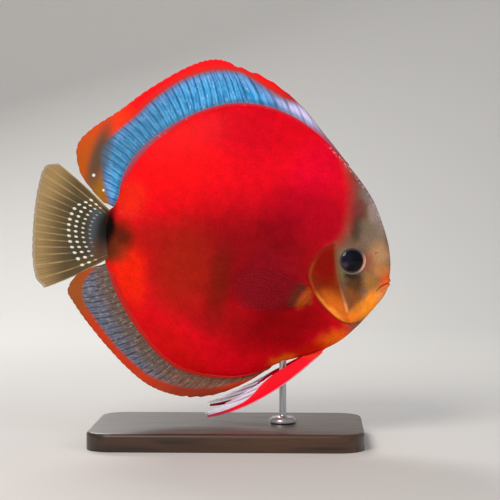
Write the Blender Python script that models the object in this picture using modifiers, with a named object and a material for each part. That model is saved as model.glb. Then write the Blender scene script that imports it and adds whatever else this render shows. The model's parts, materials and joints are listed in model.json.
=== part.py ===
"""A life-size display model of an adult discus fish, head slightly down, on a short rod and a flat base.

Frame: +X is the way the fish faces, +Y its left side, +Z up, and the origin is the middle of the base's
underside. Sizes below are millimetres. The fish is drawn in its own frame, where s runs forward along the
body, y to its left and h up, with the zero in the middle of the flank, and the empty "fish_pose" tilts it.
"""

import math

import bmesh
import bpy
import numpy as np
from mathutils import Vector

MM = 0.001
GAP = 0.3  # clearance that neighbouring pieces keep
WELD = 0.02  # points of a cut piece that are nearer than this become one

# Pose and stand
NOSE_DOWN_DEG = 9.0
FISH_X, FISH_Z = 1.8, 92.7  # where the middle of the flank stands in the part's frame
TAIL_SWAY = 4.5  # how far the tail's end swings to the left
SWAY_START, SWAY_END = 5.0, -92.0  # s where the swing starts, and where it reaches TAIL_SWAY
BASE_LENGTH, BASE_WIDTH, BASE_HEIGHT = 122.0, 78.0, 8.0
BASE_CORNER, BASE_BEVEL = 12.0, 1.6
ROD_X, ROD_RADIUS, ROD_TOP, ROD_SIDES = 24.75, 1.6, 43.5, 20
FOOT_RADIUS, FOOT_HEIGHT, FOOT_SLOPE = 6.0, 2.6, 1.2

# Flesh: the side outline without its fins, as points (s, h) on a smooth closed curve
FLESH_OUTLINE = [
    (-58.2, 0.8), (-55.4, 4.3), (-53.7, 9.2), (-53.5, 15.0), (-52.2, 21.7), (-47.6, 31.3),
    (-38.1, 42.0), (-25.1, 52.1), (-11.0, 58.6), (2.0, 60.4), (14.0, 58.9), (24.5, 55.2),
    (34.0, 49.6), (43.2, 42.6), (52.6, 34.4), (60.4, 25.8), (66.0, 16.4), (70.4, 6.8),
    (72.5, -1.2), (73.0, -6.4), (73.2, -11.0), (71.9, -15.9), (68.8, -21.4), (64.9, -27.5),
    (60.3, -33.8), (55.4, -39.2), (48.6, -44.2), (39.6, -48.8), (31.0, -52.8), (22.0, -58.4),
    (13.0, -62.6), (2.0, -64.4), (-9.0, -64.2), (-18.0, -61.8), (-26.6, -56.8), (-34.8, -49.4),
    (-41.9, -41.7), (-48.4, -32.8), (-52.8, -24.6), (-55.3, -19.6), (-57.6, -9.5),
]
HALF_WIDTHS = [
    (-62.0, 4.6), (-52.0, 6.0), (-35.0, 8.4), (-10.0, 11.0), (15.0, 12.7), (38.0, 13.8),
    (54.0, 11.8), (66.0, 10.4), (78.0, 9.4),
]
# How blunt the rim of the flesh is, by direction in degrees from straight ahead: 0.5 is an ellipse
RIM_POWERS = [
    (-180.0, 0.36), (-165.0, 0.44), (-140.0, 0.60), (-65.0, 0.56), (-42.0, 0.46), (-8.0, 0.36),
    (20.0, 0.42), (50.0, 0.52), (80.0, 0.60), (145.0, 0.60), (168.0, 0.44), (180.0, 0.36),
]
FLESH_SEGMENTS, FLESH_RINGS = 100, 22
HEAD_CROWDING = 0.42  # share by which the segments crowd towards the head

# Head
EYE_S, EYE_H = 55.0, -2.2
EYE_RADIUS, EYE_DEPTH = 6.8, 4.4  # the whole eyeball; its widest part lies under the skin
EYE_SINK = 2.7  # how far the eyeball's middle lies under the skin
EYE_SEGMENTS, EYE_RINGS = 18, 10
ORBIT_RADIUS, ORBIT_RIM, ORBIT_POINTS = 5.75, 0.6, 20
NOSTRIL_S, NOSTRIL_H, NOSTRIL_RADIUS = 65.4, 2.6, 0.75
NOSTRIL_SEGMENTS, NOSTRIL_RINGS = 8, 6
LIP_HALF_WIDTH, LIP_POINTS = 4.3, 13
LIP_FRONT_RADIUS, LIP_CORNER_RADIUS = 1.5, 0.6
LIP_PAST_LINE = 0.05  # how far each lip reaches over the line of the mouth, where the jaw's cut parts them
LIP_SUNK = 0.3  # share of a lip's radius that lies inside the snout
GILL_COVER_OUTLINE = [
    (44.6, 3.4), (40.6, 0.4), (37.4, -5.2), (36.4, -10.6), (37.9, -15.4), (41.6, -20.4),
    (47.2, -25.4), (53.0, -29.2), (57.8, -30.0), (57.6, -25.6), (54.0, -18.6), (50.2, -11.0),
    (48.0, -5.4), (46.9, 0.8),
]
GILL_COVER_PROUD, GILL_COVER_THICK = 0.5, 2.4
# Parting cuts, as (s, h, half width of the cut)
CUT = GAP / 2
PRISM_HALF = 40.0  # half the depth of the blocks that cut right through the body
HEAD_CUT = [(40.0, 64.0, CUT), (41.5, 30.0, CUT), (42.5, 8.0, CUT), (46.0, -14.0, CUT),
            (53.0, -25.0, CUT), (58.6, -34.0, CUT), (62.0, -50.0, CUT)]
JAW_CUT = [(80.0, -9.0, 0.35), (73.6, -9.4, 0.3), (69.6, -11.6, CUT), (67.0, -15.2, CUT),
           (65.8, -20.0, CUT), (67.2, -24.8, CUT), (73.0, -29.4, CUT)]
PEDUNCLE_CUT = [(-62.0, 10.5, CUT), (-54.0, 9.0, CUT), (-49.0, 1.0, CUT), (-47.6, -8.0, CUT),
                (-49.0, -17.0, CUT), (-53.0, -24.8, CUT), (-62.0, -30.0, CUT)]
# Roughly where the middle of each cut piece lies, as (s, y, h)
FLESH_PLACES = {
    "head": (58.0, 0.0, 0.0),
    "lower_jaw": (70.0, 0.0, -18.0),
    "torso": (0.0, 0.0, 0.0),
    "caudal_peduncle": (-54.0, 0.0, -8.0),
}
GILL_COVER_PLACES = {
    "gill_cover_right": (46.0, -11.0, -13.0),
    "gill_cover_left": (46.0, 11.0, -13.0),
}

# Fins. A key ray is (root s, root h, tip s, tip h); the rays between follow smoothly.
DORSAL_RAYS = [
    (46.4, 40.0, 44.6, 42.4), (38.5, 46.4, 33.6, 51.9), (28.5, 53.3, 20.7, 63.6),
    (16.0, 58.5, 5.4, 72.3), (4.0, 60.2, -8.0, 75.8), (-9.0, 59.2, -19.5, 77.6),
    (-22.0, 54.0, -31.2, 72.7), (-34.0, 45.5, -47.2, 60.1), (-43.0, 36.5, -59.8, 47.7),
    (-49.5, 28.0, -70.8, 38.0), (-52.7, 20.5, -76.2, 29.2), (-53.6, 13.5, -73.0, 18.6),
    (-54.0, 8.6, -65.6, 10.9), (-55.2, 5.0, -60.0, 6.2),
]
DORSAL_SPINES, DORSAL_SOFT_RAYS = 9, 30
DORSAL_BASE, DORSAL_SPINY_SHARE = 150.0, 0.40  # length of the base, and the share under the spines
ANAL_RAYS = [
    (26.6, -55.4, 24.6, -57.8), (20.0, -59.8, 14.8, -65.8), (12.0, -63.0, 3.8, -72.2),
    (3.0, -64.4, -7.0, -75.2), (-7.0, -64.3, -17.8, -75.0), (-17.0, -62.2, -28.0, -72.4),
    (-26.0, -57.2, -38.6, -66.3), (-34.5, -49.7, -49.6, -57.8), (-41.6, -42.0, -59.6, -48.8),
    (-47.2, -34.6, -67.0, -41.0), (-51.0, -28.6, -70.3, -36.4), (-53.3, -23.8, -66.9, -29.7),
    (-54.5, -21.4, -59.4, -24.2),
]
ANAL_SPINES, ANAL_SOFT_RAYS = 8, 28
ANAL_BASE, ANAL_SPINY_SHARE = 110.0, 0.30
CAUDAL_RAYS = [
    (-57.2, 2.5, -83.4, 19.5), (-58.0, 1.0, -88.0, 17.2), (-58.4, -2.0, -90.2, 8.7),
    (-58.3, -5.6, -90.9, -0.5), (-57.8, -9.2, -90.7, -8.5), (-57.2, -12.7, -89.7, -16.6),
    (-56.5, -15.9, -88.2, -24.6), (-56.0, -17.9, -85.2, -32.4), (-55.6, -19.3, -79.8, -36.7),
]
CAUDAL_BRANCHED_RAYS = 14
PECTORAL_RAYS = [
    (38.6, -17.2, 16.5, -8.8), (37.7, -18.9, 9.4, -12.0), (36.8, -20.6, 5.4, -17.6),
    (35.8, -22.3, 5.2, -23.6), (34.8, -24.0, 8.4, -28.6), (33.8, -25.7, 14.0, -31.2),
]
PECTORAL_FIN_RAYS = 12
PECTORAL_OUT_DEG = 24.0
# Pelvic rays curve, so each has (root s, root h, bend s, bend h, tip s, tip h)
PELVIC_RAYS = [
    (48.2, -45.0, 25.7, -74.3, 2.4, -80.9), (47.2, -45.6, 24.5, -71.5, 1.0, -79.4),
    (46.0, -46.2, 25.4, -67.6, 6.6, -75.8), (44.6, -46.8, 27.4, -62.8, 13.0, -70.8),
    (43.0, -47.5, 29.8, -58.8, 19.8, -65.6), (41.0, -48.3, 33.2, -54.4, 26.4, -59.8),
]
PELVIC_ROOT_Y, PELVIC_ROOT_SPREAD, PELVIC_OUT_DEG = 2.4, 0.8, 12.0
LEFT_PELVIC_LIFT_DEG = 1.5  # the left pelvic fin is carried a little higher

# Where each fin's rows of points lie, from 0 at the root to 1 at the margin
FIN_ROWS = (0.0, 0.3, 0.65, 1.0)
CAUDAL_ROWS = (0.0, 0.2, 0.46, 0.74, 1.0)
PECTORAL_ROWS = (0.0, 0.12, 0.4, 0.7, 1.0)
PELVIC_ROWS = (0.0, 0.1, 0.25, 0.4, 0.55, 0.7, 0.85, 1.0)
# How far the first and the last ray of a fin bow to their upper side, as a share of their length
DORSAL_BOWS, ANAL_BOWS, CAUDAL_BOWS = (0.04, 0.04), (-0.05, -0.05), (0.02, -0.025)
# The margin's swing to each side, and how many waves it makes along the fin
DORSAL_RIPPLE, ANAL_RIPPLE, CAUDAL_RIPPLE = (0.7, 2.5), (0.6, 2.0), (0.9, 1.0)
RAY_SPREAD, SPINE_SPREAD = 0.30, 0.17  # from a ray's crest to its foot, as a share of the spacing
RAY_OVERSHOOT, SPINE_OVERSHOOT = 0.015, 0.07  # how far rays stand past the membrane, by length
# Fin thicknesses, each the half thickness at the root and at the margin
MEMBRANE = (0.55, 0.26)
RAY_RIDGE = (1.0, 0.34)
SPINE_RIDGE = (1.15, 0.30)
CAUDAL_RIDGE = (1.1, 0.32)
PAIRED_RIDGE = (0.95, 0.32)
ACROSS = Vector((0, 1, 0))  # the thin direction of the fins in the mid plane
SMOOTH_UNDER_DEG = 40.0  # edges that turn less than this are shaded smooth


# ---------------------------------------------------------------- curves and the flesh's surface


def catmull(points, steps, closed):
    """A smooth curve through the points, with that many steps between neighbours."""
    points = np.array(points, float)
    count = len(points)
    if not closed:
        points = np.vstack([2 * points[0] - points[1], points, 2 * points[-1] - points[-2]])
    spans = count if closed else count - 1
    curve = []
    for i in range(spans):
        if closed:
            p = [points[(i + k - 1) % count] for k in range(4)]
        else:
            p = [points[i + k] for k in range(4)]
        for t in np.arange(steps) / steps:
            curve.append(
                0.5
                * (
                    2 * p[1]
                    + (p[2] - p[0]) * t
                    + (2 * p[0] - 5 * p[1] + 4 * p[2] - p[3]) * t * t
                    + (3 * p[1] - p[0] - 3 * p[2] + p[3]) * t**3
                )
            )
    if not closed:
        curve.append(points[-2])
    return np.array(curve)


def eased(pairs, x):
    """The value at x of a curve that eases from each (place, value) to the next."""
    places, values = zip(*pairs)
    if x <= places[0]:
        return values[0]
    for i in range(len(pairs) - 1):
        if x <= places[i + 1]:
            t = (x - places[i]) / (places[i + 1] - places[i])
            t = t * t * (3 - 2 * t)
            return values[i] + (values[i + 1] - values[i]) * t
    return values[-1]


def polar_outline():
    """The flesh's outline as (direction in radians, distance from the middle), in rising order."""
    curve = catmull(FLESH_OUTLINE, 12, closed=True)
    directions = np.arctan2(curve[:, 1], curve[:, 0])
    distances = np.hypot(curve[:, 0], curve[:, 1])
    order = np.argsort(directions)
    return directions[order], distances[order]


OUTLINE_DIRECTIONS, OUTLINE_DISTANCES = polar_outline()


def outline_distance(direction):
    """How far the flesh reaches from the middle of the flank in that direction."""
    return float(
        np.interp(direction, OUTLINE_DIRECTIONS, OUTLINE_DISTANCES, period=2 * math.pi)
    )


def half_width(s, h, grow=0.0):
    """Half the thickness of the flesh at a place on its side, or 0 outside it."""
    direction = math.atan2(h, s)
    reach = math.hypot(s, h) / (outline_distance(direction) + grow)
    if reach >= 1:
        return 0.0
    power = eased(RIM_POWERS, math.degrees(direction))
    return (eased(HALF_WIDTHS, s) + grow) * (1 - reach * reach) ** power


def on_outline(s, h, out=GAP):
    """The place on the flesh's outline in the direction of (s, h), moved out by a gap."""
    direction = math.atan2(h, s)
    distance = outline_distance(direction) + out
    return distance * math.cos(direction), distance * math.sin(direction)


def skin_point(side, s, h):
    return Vector((s, side * half_width(s, h), h))


def skin_normal(side, s, h):
    """The direction that stands square to the skin and out of it."""
    step = 0.5
    slope_s = (half_width(s + step, h) - half_width(s - step, h)) / (2 * step)
    slope_h = (half_width(s, h + step) - half_width(s, h - step)) / (2 * step)
    return Vector((-slope_s, side, -slope_h)).normalized()


def snout_reach(y, h):
    """How far forward the flesh reaches at that height and that far from the mid plane."""
    low, high = 40.0, 80.0
    for _ in range(30):
        middle = (low + high) / 2
        if half_width(middle, h) > abs(y):
            low = middle
        else:
            high = middle
    return low


def belly_height(s, y):
    """The height of the belly's skin above or below the middle, at s and that far from the mid plane."""
    low, high = -70.0, -20.0
    for _ in range(30):
        middle = (low + high) / 2
        if half_width(s, middle) > abs(y):
            high = middle
        else:
            low = middle
    return high


# ---------------------------------------------------------------- making objects


def clear_scene():
    for obj in list(bpy.data.objects):
        bpy.data.objects.remove(obj)


def material(name, colour, roughness, metallic=0.0):
    made = bpy.data.materials.get(name) or bpy.data.materials.new(name)
    made.use_nodes = True
    shader = made.node_tree.nodes["Principled BSDF"]
    shader.inputs["Base Color"].default_value = (*colour, 1.0)
    shader.inputs["Roughness"].default_value = roughness
    shader.inputs["Metallic"].default_value = metallic
    return made


def new_object(name, mesh):
    obj = bpy.data.objects.new(name, mesh)
    bpy.context.scene.collection.objects.link(obj)
    return obj


def face_outwards(made):
    bmesh.ops.recalc_face_normals(made, faces=made.faces)
    if made.calc_volume(signed=True) < 0:
        bmesh.ops.reverse_faces(made, faces=made.faces)


def object_from_bmesh(name, made):
    mesh = bpy.data.meshes.new(name)
    made.to_mesh(mesh)
    made.free()
    return new_object(name, mesh)


def evaluated_mesh(obj):
    graph = bpy.context.evaluated_depsgraph_get()
    return bpy.data.meshes.new_from_object(obj.evaluated_get(graph))


def boolean(obj, other, operation):
    """Cuts, joins or overlaps obj with another closed mesh, which is then removed."""
    modifier = obj.modifiers.new("Boolean", "BOOLEAN")
    modifier.operation = operation
    modifier.solver = "EXACT"
    modifier.object = other
    obj.data = evaluated_mesh(obj)
    obj.modifiers.clear()
    bpy.data.objects.remove(other)


def union_all(obj, pieces):
    """Joins closed pieces to obj with one Boolean on a collection of them."""
    collection = bpy.data.collections.new(obj.name + "_pieces")
    bpy.context.scene.collection.children.link(collection)
    for piece in pieces:
        collection.objects.link(piece)
        bpy.context.scene.collection.objects.unlink(piece)
    modifier = obj.modifiers.new("Join", "BOOLEAN")
    modifier.operation = "UNION"
    modifier.solver = "EXACT"
    modifier.operand_type = "COLLECTION"
    modifier.collection = collection
    obj.data = evaluated_mesh(obj)
    obj.modifiers.clear()
    for piece in pieces:
        bpy.data.objects.remove(piece)
    bpy.data.collections.remove(collection)


def weld(obj):
    """Closes up the hair-thin triangles that cuts leave where two surfaces nearly meet."""
    mesh = bmesh.new()
    mesh.from_mesh(obj.data)
    bmesh.ops.triangulate(mesh, faces=mesh.faces)
    bmesh.ops.remove_doubles(mesh, verts=mesh.verts, dist=WELD * MM)
    bmesh.ops.dissolve_degenerate(mesh, edges=mesh.edges, dist=WELD / 4 * MM)
    bmesh.ops.triangulate(mesh, faces=mesh.faces)
    mesh.to_mesh(obj.data)
    mesh.free()


def loose_parts(mesh):
    """The mesh's separate closed surfaces, each as a bmesh, the largest first."""
    whole = bmesh.new()
    whole.from_mesh(mesh)
    whole.faces.ensure_lookup_table()
    unseen = set(whole.faces)
    groups = []
    while unseen:
        start = unseen.pop()
        group, border = {start}, [start]
        while border:
            face = border.pop()
            for edge in face.edges:
                for near in edge.link_faces:
                    if near in unseen:
                        unseen.remove(near)
                        group.add(near)
                        border.append(near)
        groups.append({f.index for f in group})
    groups.sort(key=len, reverse=True)
    parts = []
    for group in groups:
        part = whole.copy()
        part.faces.ensure_lookup_table()
        spare = [f for f in part.faces if f.index not in group]
        bmesh.ops.delete(part, geom=spare, context="FACES")
        parts.append(part)
    whole.free()
    return parts


def middle_of(part):
    total = Vector()
    for vertex in part.verts:
        total += vertex.co
    return total / max(len(part.verts), 1) / MM


def split_by_place(obj, places):
    """Turns the loose parts of obj, the largest first, into objects named by the nearest (s, y, h)."""
    made = {}
    for part in loose_parts(obj.data):
        middle = middle_of(part)
        name = min(places, key=lambda n: (middle - Vector(places[n])).length)
        if name in made:
            part.free()
            continue
        made[name] = object_from_bmesh(name, part)
    bpy.data.objects.remove(obj)
    return made


def prism(name, outline):
    """A closed block with that outline seen from the side, wider than the body."""
    block = bmesh.new()
    face = block.faces.new([block.verts.new((s * MM, -PRISM_HALF * MM, h * MM)) for s, h in outline])
    far = bmesh.ops.extrude_face_region(block, geom=[face])["geom"]
    moved = [v for v in far if isinstance(v, bmesh.types.BMVert)]
    bmesh.ops.translate(block, verts=moved, vec=(0, 2 * PRISM_HALF * MM, 0))
    face_outwards(block)
    return object_from_bmesh(name, block)


def parting_wall(name, cut):
    """A thin wall along a parting cut, right through the body."""
    path = catmull(cut, 4, closed=False)
    ahead = np.gradient(path[:, :2], axis=0)
    ahead /= np.linalg.norm(ahead, axis=1)[:, None]
    side = np.stack([-ahead[:, 1], ahead[:, 0]], axis=1) * path[:, 2:3]
    return prism(name, [*(path[:, :2] + side), *(path[:, :2] - side)[::-1]])


def grown_outline(outline, out):
    """A smooth closed outline through the points, moved outwards by a gap."""
    curve = catmull(outline, 3, closed=True)
    ahead = np.roll(curve, -1, axis=0) - np.roll(curve, 1, axis=0)
    ahead /= np.linalg.norm(ahead, axis=1)[:, None]
    turn = np.sum(curve[:, 0] * np.roll(curve[:, 1], -1) - curve[:, 1] * np.roll(curve[:, 0], -1))
    outwards = np.stack([ahead[:, 1], -ahead[:, 0]], axis=1) * np.sign(turn)
    return curve + outwards * out


def ball_in_skin(name, side, place, sink, radius, depth, segments, rings):
    """A flattened ball whose short axis stands square to the skin, its middle that far under it."""
    out = skin_normal(side, *place)
    across = out.cross(Vector((0, 0, 1))).normalized()
    up = across.cross(out)
    middle = skin_point(side, *place) - out * sink
    ball = bmesh.new()
    bmesh.ops.create_uvsphere(ball, u_segments=segments, v_segments=rings, radius=1.0)
    for vertex in ball.verts:
        x, y, z = vertex.co
        vertex.co = (middle + (across * x + up * y) * radius + out * (z * depth)) * MM
    face_outwards(ball)
    return object_from_bmesh(name, ball)


def bent_tube(name, path, radii, ring=False):
    """A closed tube through the points (s, y, h) with a radius at each, or a ring of tube."""
    curve = bpy.data.curves.new(name, "CURVE")
    curve.dimensions = "3D"
    curve.bevel_depth = MM
    curve.bevel_resolution = 2
    curve.use_fill_caps = not ring
    spline = curve.splines.new("POLY")
    spline.use_cyclic_u = ring
    spline.points.add(len(path) - 1)
    for point, place, radius in zip(spline.points, path, radii):
        point.co = (*(Vector(place) * MM), 1.0)
        point.radius = radius
    line = new_object(name + "_line", curve)
    tube = new_object(name, evaluated_mesh(line))
    bpy.data.objects.remove(line)
    welded = bmesh.new()
    welded.from_mesh(tube.data)
    bmesh.ops.remove_doubles(welded, verts=welded.verts, dist=WELD / 2 * MM)
    face_outwards(welded)
    welded.to_mesh(tube.data)
    welded.free()
    return tube


# ---------------------------------------------------------------- flesh


def flesh(name, grow=0.0):
    """The whole body without fins, moulded from a ball whose poles are the middles of the flanks."""
    body = bmesh.new()
    bmesh.ops.create_uvsphere(
        body, u_segments=FLESH_SEGMENTS, v_segments=FLESH_RINGS, radius=1.0
    )
    for vertex in body.verts:
        x, y, z = vertex.co
        turn = math.atan2(y, x)
        direction = turn - HEAD_CROWDING * math.sin(turn)
        reach = min(math.hypot(x, y), 1.0)
        distance = (outline_distance(direction) + grow) * reach
        s, h = distance * math.cos(direction), distance * math.sin(direction)
        width = half_width(s, h, grow) if reach < 1 - 1e-6 else 0.0
        vertex.co = (s * MM, -math.copysign(width, z) * MM, h * MM)
    face_outwards(body)
    return object_from_bmesh(name, body)


def eyes():
    size = (EYE_SINK, EYE_RADIUS, EYE_DEPTH, EYE_SEGMENTS, EYE_RINGS)
    return [
        ball_in_skin(name, side, (EYE_S, EYE_H), *size)
        for side, name in ((-1, "eye_right"), (1, "eye_left"))
    ]


def gill_covers():
    """Both gill covers: plates that stand a little proud of the cheek, free at their rear edge."""
    plates = prism("gill_covers", grown_outline(GILL_COVER_OUTLINE, 0.0))
    boolean(plates, flesh("cover_skin", GILL_COVER_PROUD), "INTERSECT")
    boolean(plates, flesh("cover_back", GAP - GILL_COVER_THICK), "DIFFERENCE")
    weld(plates)
    return list(split_by_place(plates, GILL_COVER_PLACES).values())


def gill_pockets():
    """The beds in the cheek and shoulder that the gill covers lie in."""
    pockets = prism("gill_pockets", grown_outline(GILL_COVER_OUTLINE, GAP))
    boolean(pockets, flesh("pocket_floor", -GILL_COVER_THICK), "DIFFERENCE")
    return pockets


def mouth_height(s):
    """The height of the line of the mouth at s."""
    line = catmull(JAW_CUT, 6, closed=False)
    line = line[line[:, 1] > JAW_CUT[3][1]][::-1]
    return float(np.interp(s, line[:, 0], line[:, 1]))


def lip(name, above):
    """One lip: a tapered roll round the snout from one corner of the mouth to the other.
    above is 1 for the upper lip and -1 for the lower one."""
    path, radii = [], []
    for t in np.linspace(-1, 1, LIP_POINTS):
        radius = LIP_FRONT_RADIUS + (LIP_CORNER_RADIUS - LIP_FRONT_RADIUS) * abs(t) ** 1.6
        y = LIP_HALF_WIDTH * math.sin(t * math.pi / 2)
        h = mouth_height(snout_reach(y, JAW_CUT[1][1]))
        h = mouth_height(snout_reach(y, h)) + above * (radius - LIP_PAST_LINE)
        path.append((snout_reach(y, h) - LIP_SUNK * radius, y, h))
        radii.append(radius)
    return bent_tube(name, path, radii)


def orbit_rim(name, side):
    """The raised ring of skin round an eye."""
    turns = np.linspace(0, 2 * math.pi, ORBIT_POINTS, endpoint=False)
    path = [
        skin_point(side, EYE_S + ORBIT_RADIUS * math.cos(a), EYE_H + ORBIT_RADIUS * math.sin(a))
        for a in turns
    ]
    return bent_tube(name, path, [ORBIT_RIM] * len(path), ring=True)


def flesh_nodes():
    """The body whole, with its lips and eye rims, then parted into head, lower jaw, torso and peduncle."""
    whole = flesh("whole")
    rolls = [lip("upper_lip", 1), lip("lower_lip", -1)]
    union_all(whole, [*rolls, orbit_rim("rim_right", -1), orbit_rim("rim_left", 1)])
    socket_size = (EYE_SINK, EYE_RADIUS + GAP, EYE_DEPTH + GAP, EYE_SEGMENTS, EYE_RINGS)
    pit_size = (0.0, NOSTRIL_RADIUS, NOSTRIL_RADIUS, NOSTRIL_SEGMENTS, NOSTRIL_RINGS)
    for side in (-1, 1):
        boolean(whole, ball_in_skin("socket", side, (EYE_S, EYE_H), *socket_size), "DIFFERENCE")
        boolean(whole, ball_in_skin("pit", side, (NOSTRIL_S, NOSTRIL_H), *pit_size), "DIFFERENCE")
    boolean(whole, gill_pockets(), "DIFFERENCE")
    for name, cut in (("head_cut", HEAD_CUT), ("jaw_cut", JAW_CUT), ("tail_cut", PEDUNCLE_CUT)):
        boolean(whole, parting_wall(name, cut), "DIFFERENCE")
    weld(whole)
    return split_by_place(whole, FLESH_PLACES)


# ---------------------------------------------------------------- fins


def along_rays(keys):
    """Key rays made into a smooth family: a function of u (0 to 1, by distance along the base)."""
    family = catmull(keys, 8, closed=False)
    steps = np.hypot(*np.diff(family[:, :2], axis=0).T)
    places = np.concatenate([[0], np.cumsum(steps)]) / steps.sum()
    return lambda u: [float(np.interp(u, places, column)) for column in family.T]


def ray_columns(first, last, count, spread=RAY_SPREAD):
    """Columns of a fin's surface, (u at the root, u at the margin, ridge at the root, at the margin):
    each ray is a crest between two feet, and flat membrane lies between the feet of neighbours."""
    step = (last - first) / (count - 1)
    columns = []
    for k in range(count):
        u = first + k * step
        if k > 0:
            columns.append((u - spread * step, u - spread * step, 0.0, 0.0))
        columns.append((u, u, 1.0, 1.0))
        if k < count - 1:
            columns.append((u + spread * step, u + spread * step, 0.0, 0.0))
    return columns


def branched_columns(count):
    """Columns of the tail fin: each ray is one ridge at its root and parts into two towards the margin."""
    step = 1.0 / (count + 1)
    columns = [(0.0, 0.0, 1.0, 1.0), (0.3 * step, 0.2 * step, 0.0, 0.0)]
    for k in range(1, count + 1):
        u = k * step
        columns += [
            (u - 0.34 * step, u - 0.40 * step, 0.0, 0.0),
            (u - 0.10 * step, u - 0.22 * step, 1.0, 1.0),
            (u, u, 1.0, 0.0),
            (u + 0.10 * step, u + 0.22 * step, 1.0, 1.0),
            (u + 0.34 * step, u + 0.40 * step, 0.0, 0.0),
        ]
    columns += [(1 - 0.3 * step, 1 - 0.2 * step, 0.0, 0.0), (1.0, 1.0, 1.0, 1.0)]
    return columns


def fin_solid(name, columns, rows, place, across, ridge, seat=None, overshoot=0.0):
    """A thin fin whose rays are ridges in both of its faces.

    place(u, v) is a point (s, y, h) of its middle surface, v from 0 at the root to 1 at the margin.
    across is the unit direction from one face to the other. seat(point), where the fin has one, sets
    a root point on the flesh. overshoot lets the rays' tips stand past the membrane, as a share of
    their length."""
    fin = bmesh.new()
    sheets = ([], [])
    for u_root, u_margin, ridge_root, ridge_margin in columns:
        for sheet in sheets:
            sheet.append([])
        for v in rows:
            share = ridge_root + (ridge_margin - ridge_root) * v
            thin = MEMBRANE[0] + (MEMBRANE[1] - MEMBRANE[0]) * v
            thick = ridge[0] + (ridge[1] - ridge[0]) * v
            half = thin + (max(thick, thin) - thin) * share
            reach = v * (1 + overshoot * share)
            centre = Vector(place(u_root + (u_margin - u_root) * v, reach))
            for sheet, sign in zip(sheets, (-1, 1)):
                point = centre + across * (half * sign)
                if v == 0 and seat:
                    point = seat(point)
                sheet[-1].append(fin.verts.new(bent(point) * MM))
    last_column, last_row = len(columns) - 1, len(rows) - 1

    def quad(a, b, c, d):
        fin.faces.new((a, b, c))
        fin.faces.new((a, c, d))

    low, high = sheets
    for i in range(last_column):
        for j in range(last_row):
            quad(low[i][j], low[i + 1][j], low[i + 1][j + 1], low[i][j + 1])
            fin.faces.new((high[i][j], high[i + 1][j + 1], high[i + 1][j]))
            fin.faces.new((high[i][j], high[i][j + 1], high[i + 1][j + 1]))
        quad(low[i][0], high[i][0], high[i + 1][0], low[i + 1][0])
        quad(low[i][-1], low[i + 1][-1], high[i + 1][-1], high[i][-1])
    for j in range(last_row):
        quad(low[0][j], low[0][j + 1], high[0][j + 1], high[0][j])
        quad(low[-1][j], high[-1][j], high[-1][j + 1], low[-1][j + 1])
    face_outwards(fin)
    return object_from_bmesh(name, fin)


def bent(point):
    """The tail's sway: points behind the middle move to the left, more and more towards the tail."""
    share = max(0.0, (SWAY_START - point.x) / (SWAY_START - SWAY_END))
    return Vector((point.x, point.y + TAIL_SWAY * share * share, point.z))


def median_place(keys, bows, ripple):
    """Middle surface of a fin in the mid plane, whose rays bow and which ripples towards its margin."""
    ray = along_rays(keys)
    first_bow, last_bow = bows
    swing, waves = ripple

    def place(u, v):
        root_s, root_h, tip_s, tip_h = ray(u)
        root_s, root_h = on_outline(root_s, root_h)
        along_s, along_h = tip_s - root_s, tip_h - root_h
        bow = (first_bow + (last_bow - first_bow) * u) * math.sin(math.pi * min(v, 1.0))
        return (
            root_s + along_s * v + along_h * bow,
            swing * v * v * math.sin(waves * 2 * math.pi * u),
            root_h + along_h * v - along_s * bow,
        )

    return place


def spiny_and_soft(kind, place, spines, soft_rays, spiny_share, base_length):
    """A long fin in two parts, spines in front and soft rays behind, parted by a gap between two rays."""
    seam = GAP / 2 / base_length
    soft_step = (1 - spiny_share) / (soft_rays - 0.5)
    spiny = ray_columns(0.0, spiny_share - seam, spines, SPINE_SPREAD)
    soft = ray_columns(spiny_share + seam + 0.5 * soft_step, 1.0, soft_rays)
    soft.insert(0, (spiny_share + seam, spiny_share + seam, 0.0, 0.0))
    return [
        fin_solid(kind + "_spiny", spiny, FIN_ROWS, place, ACROSS, SPINE_RIDGE, None, SPINE_OVERSHOOT),
        fin_solid(kind + "_soft", soft, FIN_ROWS, place, ACROSS, RAY_RIDGE, None, RAY_OVERSHOOT),
    ]


def dorsal_fins():
    place = median_place(DORSAL_RAYS, DORSAL_BOWS, DORSAL_RIPPLE)
    return spiny_and_soft(
        "dorsal_fin", place, DORSAL_SPINES, DORSAL_SOFT_RAYS, DORSAL_SPINY_SHARE, DORSAL_BASE
    )


def anal_fins():
    place = median_place(ANAL_RAYS, ANAL_BOWS, ANAL_RIPPLE)
    return spiny_and_soft(
        "anal_fin", place, ANAL_SPINES, ANAL_SOFT_RAYS, ANAL_SPINY_SHARE, ANAL_BASE
    )


def caudal_fin():
    place = median_place(CAUDAL_RAYS, CAUDAL_BOWS, CAUDAL_RIPPLE)
    columns = branched_columns(CAUDAL_BRANCHED_RAYS)
    return fin_solid(
        "caudal_fin", columns, CAUDAL_ROWS, place, ACROSS, CAUDAL_RIDGE, None, RAY_OVERSHOOT
    )


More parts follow.
